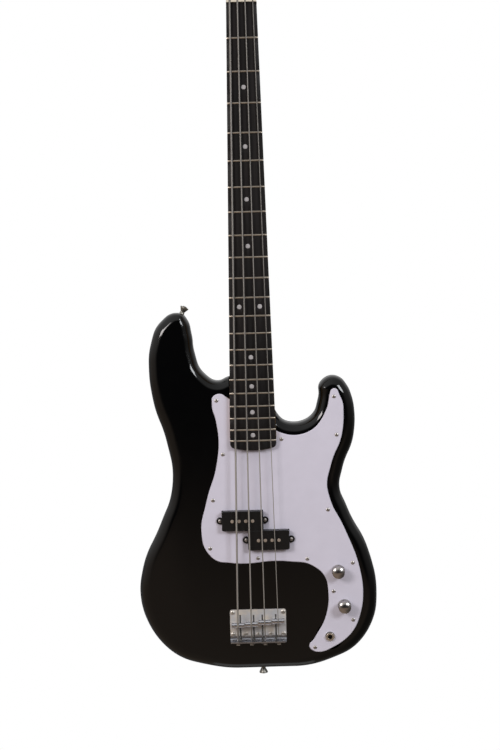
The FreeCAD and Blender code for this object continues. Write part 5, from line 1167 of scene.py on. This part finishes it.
def make_camera(look):
    """Camera at the photograph's place, turned by its tilt, pan and roll."""
    camera = bpy.data.cameras.new("camera")
    camera.lens = look.lens
    holder = new_object("camera", camera)
    turn = (Matrix.Rotation(look.camera_roll, 3, "Z") @ Matrix.Rotation(look.camera_pan, 3, "Y")
            @ Matrix.Rotation(look.camera_tilt, 3, "X"))
    right, down, ahead = (Vector((row[0], row[2], -row[1])) for row in turn)
    holder.matrix_world = (Matrix.Translation(look.camera_place)
                           @ Matrix((right, -down, -ahead)).transposed().to_4x4())
    bpy.context.scene.camera = holder


def make_lamp(name, place, target, colour, look):
    """Soft lamp aimed at a target."""
    lamp = bpy.data.lights.new(name, "AREA")
    lamp.energy = look.lamp_power
    lamp.shape = "RECTANGLE"
    lamp.size = look.lamp_width
    lamp.size_y = look.lamp_height
    lamp.color = colour
    holder = new_object(name, lamp)
    aim = (Vector(target) - Vector(place)).to_track_quat("-Z", "Y")
    holder.matrix_world = Matrix.Translation(place) @ aim.to_matrix().to_4x4()


# Colours of what stands round the bass
WHITE = (1.0, 1.0, 1.0)
ROOM_DARK, ROOM_WARM = (0.02, 0.02, 0.022), (0.30, 0.235, 0.185)
TENT_LEFT, TENT_RIGHT = (0.85, 0.85, 0.85), (0.5, 0.5, 0.5)
LOW_LEFT, LOW_RIGHT = (0.33, 0.26, 0.205), (0.10, 0.09, 0.08)
WALL_LOW, WALL_HIGH = (0.2, 0.2, 0.2), (0.95, 0.95, 0.95)
OPENING_SHAPE = 2.2  # above 1 the tent's opening is wider than it is high


def make_world():
    """White to the camera; the bass sees a pale tent open to a dim room, and white high behind itself."""
    world = bpy.data.worlds.new("studio")
    world.use_nodes = True
    bpy.context.scene.world = world
    sheet = Sheet(world.node_tree)
    across, depth, height = sheet.split(sheet.add("ShaderNodeTexCoord", None, None, "Generated"))
    room = sheet.blend((-height).between(0.09, 0.26), ROOM_DARK, ROOM_WARM)
    pale = sheet.blend(across.between(-0.7, 0.7), TENT_LEFT, TENT_RIGHT)
    low = sheet.blend(across.between(-0.2, 0.6), LOW_LEFT, LOW_RIGHT)
    tent = sheet.blend(height.between(-0.3, 0.55), low, pale)
    wall = sheet.blend(height.between(-0.1, 0.5), WALL_LOW, WALL_HIGH)
    opening = (across * across + height * height * OPENING_SHAPE).root()
    front = sheet.blend(opening.between(0.45, 0.9), room, tent)
    behind = depth.between(0.12, 0.55)
    around = sheet.blend(behind, front, wall)
    camera, glossy, passing = (sheet.add("ShaderNodeLightPath", None, None, f"Is {kind} Ray")
                               for kind in ("Camera", "Glossy", "Transmission"))
    backdrop = behind * height.between(0.2, 0.6)
    shown = sheet.blend(camera + (glossy + passing) * backdrop, around, WHITE)
    ground = world.node_tree.nodes["Background"]
    sheet.fill(ground.inputs["Color"], shown)
    ground.inputs["Strength"].default_value = 1.0


def make_floor(look):
    """Pale floor below the bass."""
    half = look.floor_size / 2
    level = CAD_LOW.z - look.floor_drop
    floor = box("floor", (-half, -half, level - look.floor_depth), (half, half, level))
    paint = Paint("floor")
    marks = paint.noise(scale=3.0)
    paint.set(base_color=paint.blend(marks, (0.80, 0.79, 0.78), (0.82, 0.81, 0.80)), roughness=0.8)
    floor.data.materials.append(paint.material)
    floor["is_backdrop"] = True


class BASS_OT_studio(Operator):
    """Sets up the camera, the lamps, the surroundings and the floor"""
    bl_idname = "bass.studio"
    bl_label = "Studio"

    def execute(self, context):
        look = context.scene.bass_studio
        make_camera(look)
        middle = (BODY_LOW + BODY_HIGH) / 2
        for name, side, colour in (("left lamp", -1, look.warm), ("right lamp", 1, look.cool)):
            place = middle + Vector((side * look.lamp_aside, -look.lamp_ahead, look.lamp_above))
            make_lamp(name, place, middle, colour, look)
        make_world()
        make_floor(look)
        context.scene.view_settings.view_transform = "Standard"
        return {"FINISHED"}


class BASS_PT_sidebar(Panel):
    """Buttons for the groups and their sizes"""
    bl_idname = "BASS_PT_sidebar"
    bl_label = "Electric bass"
    bl_space_type = "VIEW_3D"
    bl_region_type = "UI"
    bl_category = "Bass"

    def draw(self, context):
        for name, kind in GROUPS.items():
            column = self.layout.box()
            for key in kind.__annotations__:
                column.prop(getattr(context.scene, name), key)
        for step in STEPS:
            self.layout.operator(step.bl_idname)


GROUPS = {"bass_body": BodySizes, "bass_neck": NeckSizes, "bass_screws": ScrewSizes, "bass_knobs": KnobSizes,
          "bass_studio": StudioLook}
STEPS = (BASS_OT_body, BASS_OT_neck, BASS_OT_tuners, BASS_OT_strings, BASS_OT_bridge, BASS_OT_guard,
         BASS_OT_pickups, BASS_OT_controls, BASS_OT_screws, BASS_OT_studio)


def register():
    for kind in (*GROUPS.values(), *STEPS, BASS_PT_sidebar):
        bpy.utils.register_class(kind)
    for name, kind in GROUPS.items():
        setattr(bpy.types.Scene, name, PointerProperty(type=kind))


def unregister():
    for name in GROUPS:
        delattr(bpy.types.Scene, name)
    for kind in reversed((*GROUPS.values(), *STEPS, BASS_PT_sidebar)):
        bpy.utils.unregister_class(kind)


def main():
    register()
    make_paints()
    for step in (bpy.ops.bass.body, bpy.ops.bass.neck, bpy.ops.bass.tuners, bpy.ops.bass.strings,
                 bpy.ops.bass.bridge, bpy.ops.bass.guard, bpy.ops.bass.pickups, bpy.ops.bass.controls,
                 bpy.ops.bass.screws, bpy.ops.bass.studio):
        step()


if __name__ == "__main__":
    main()
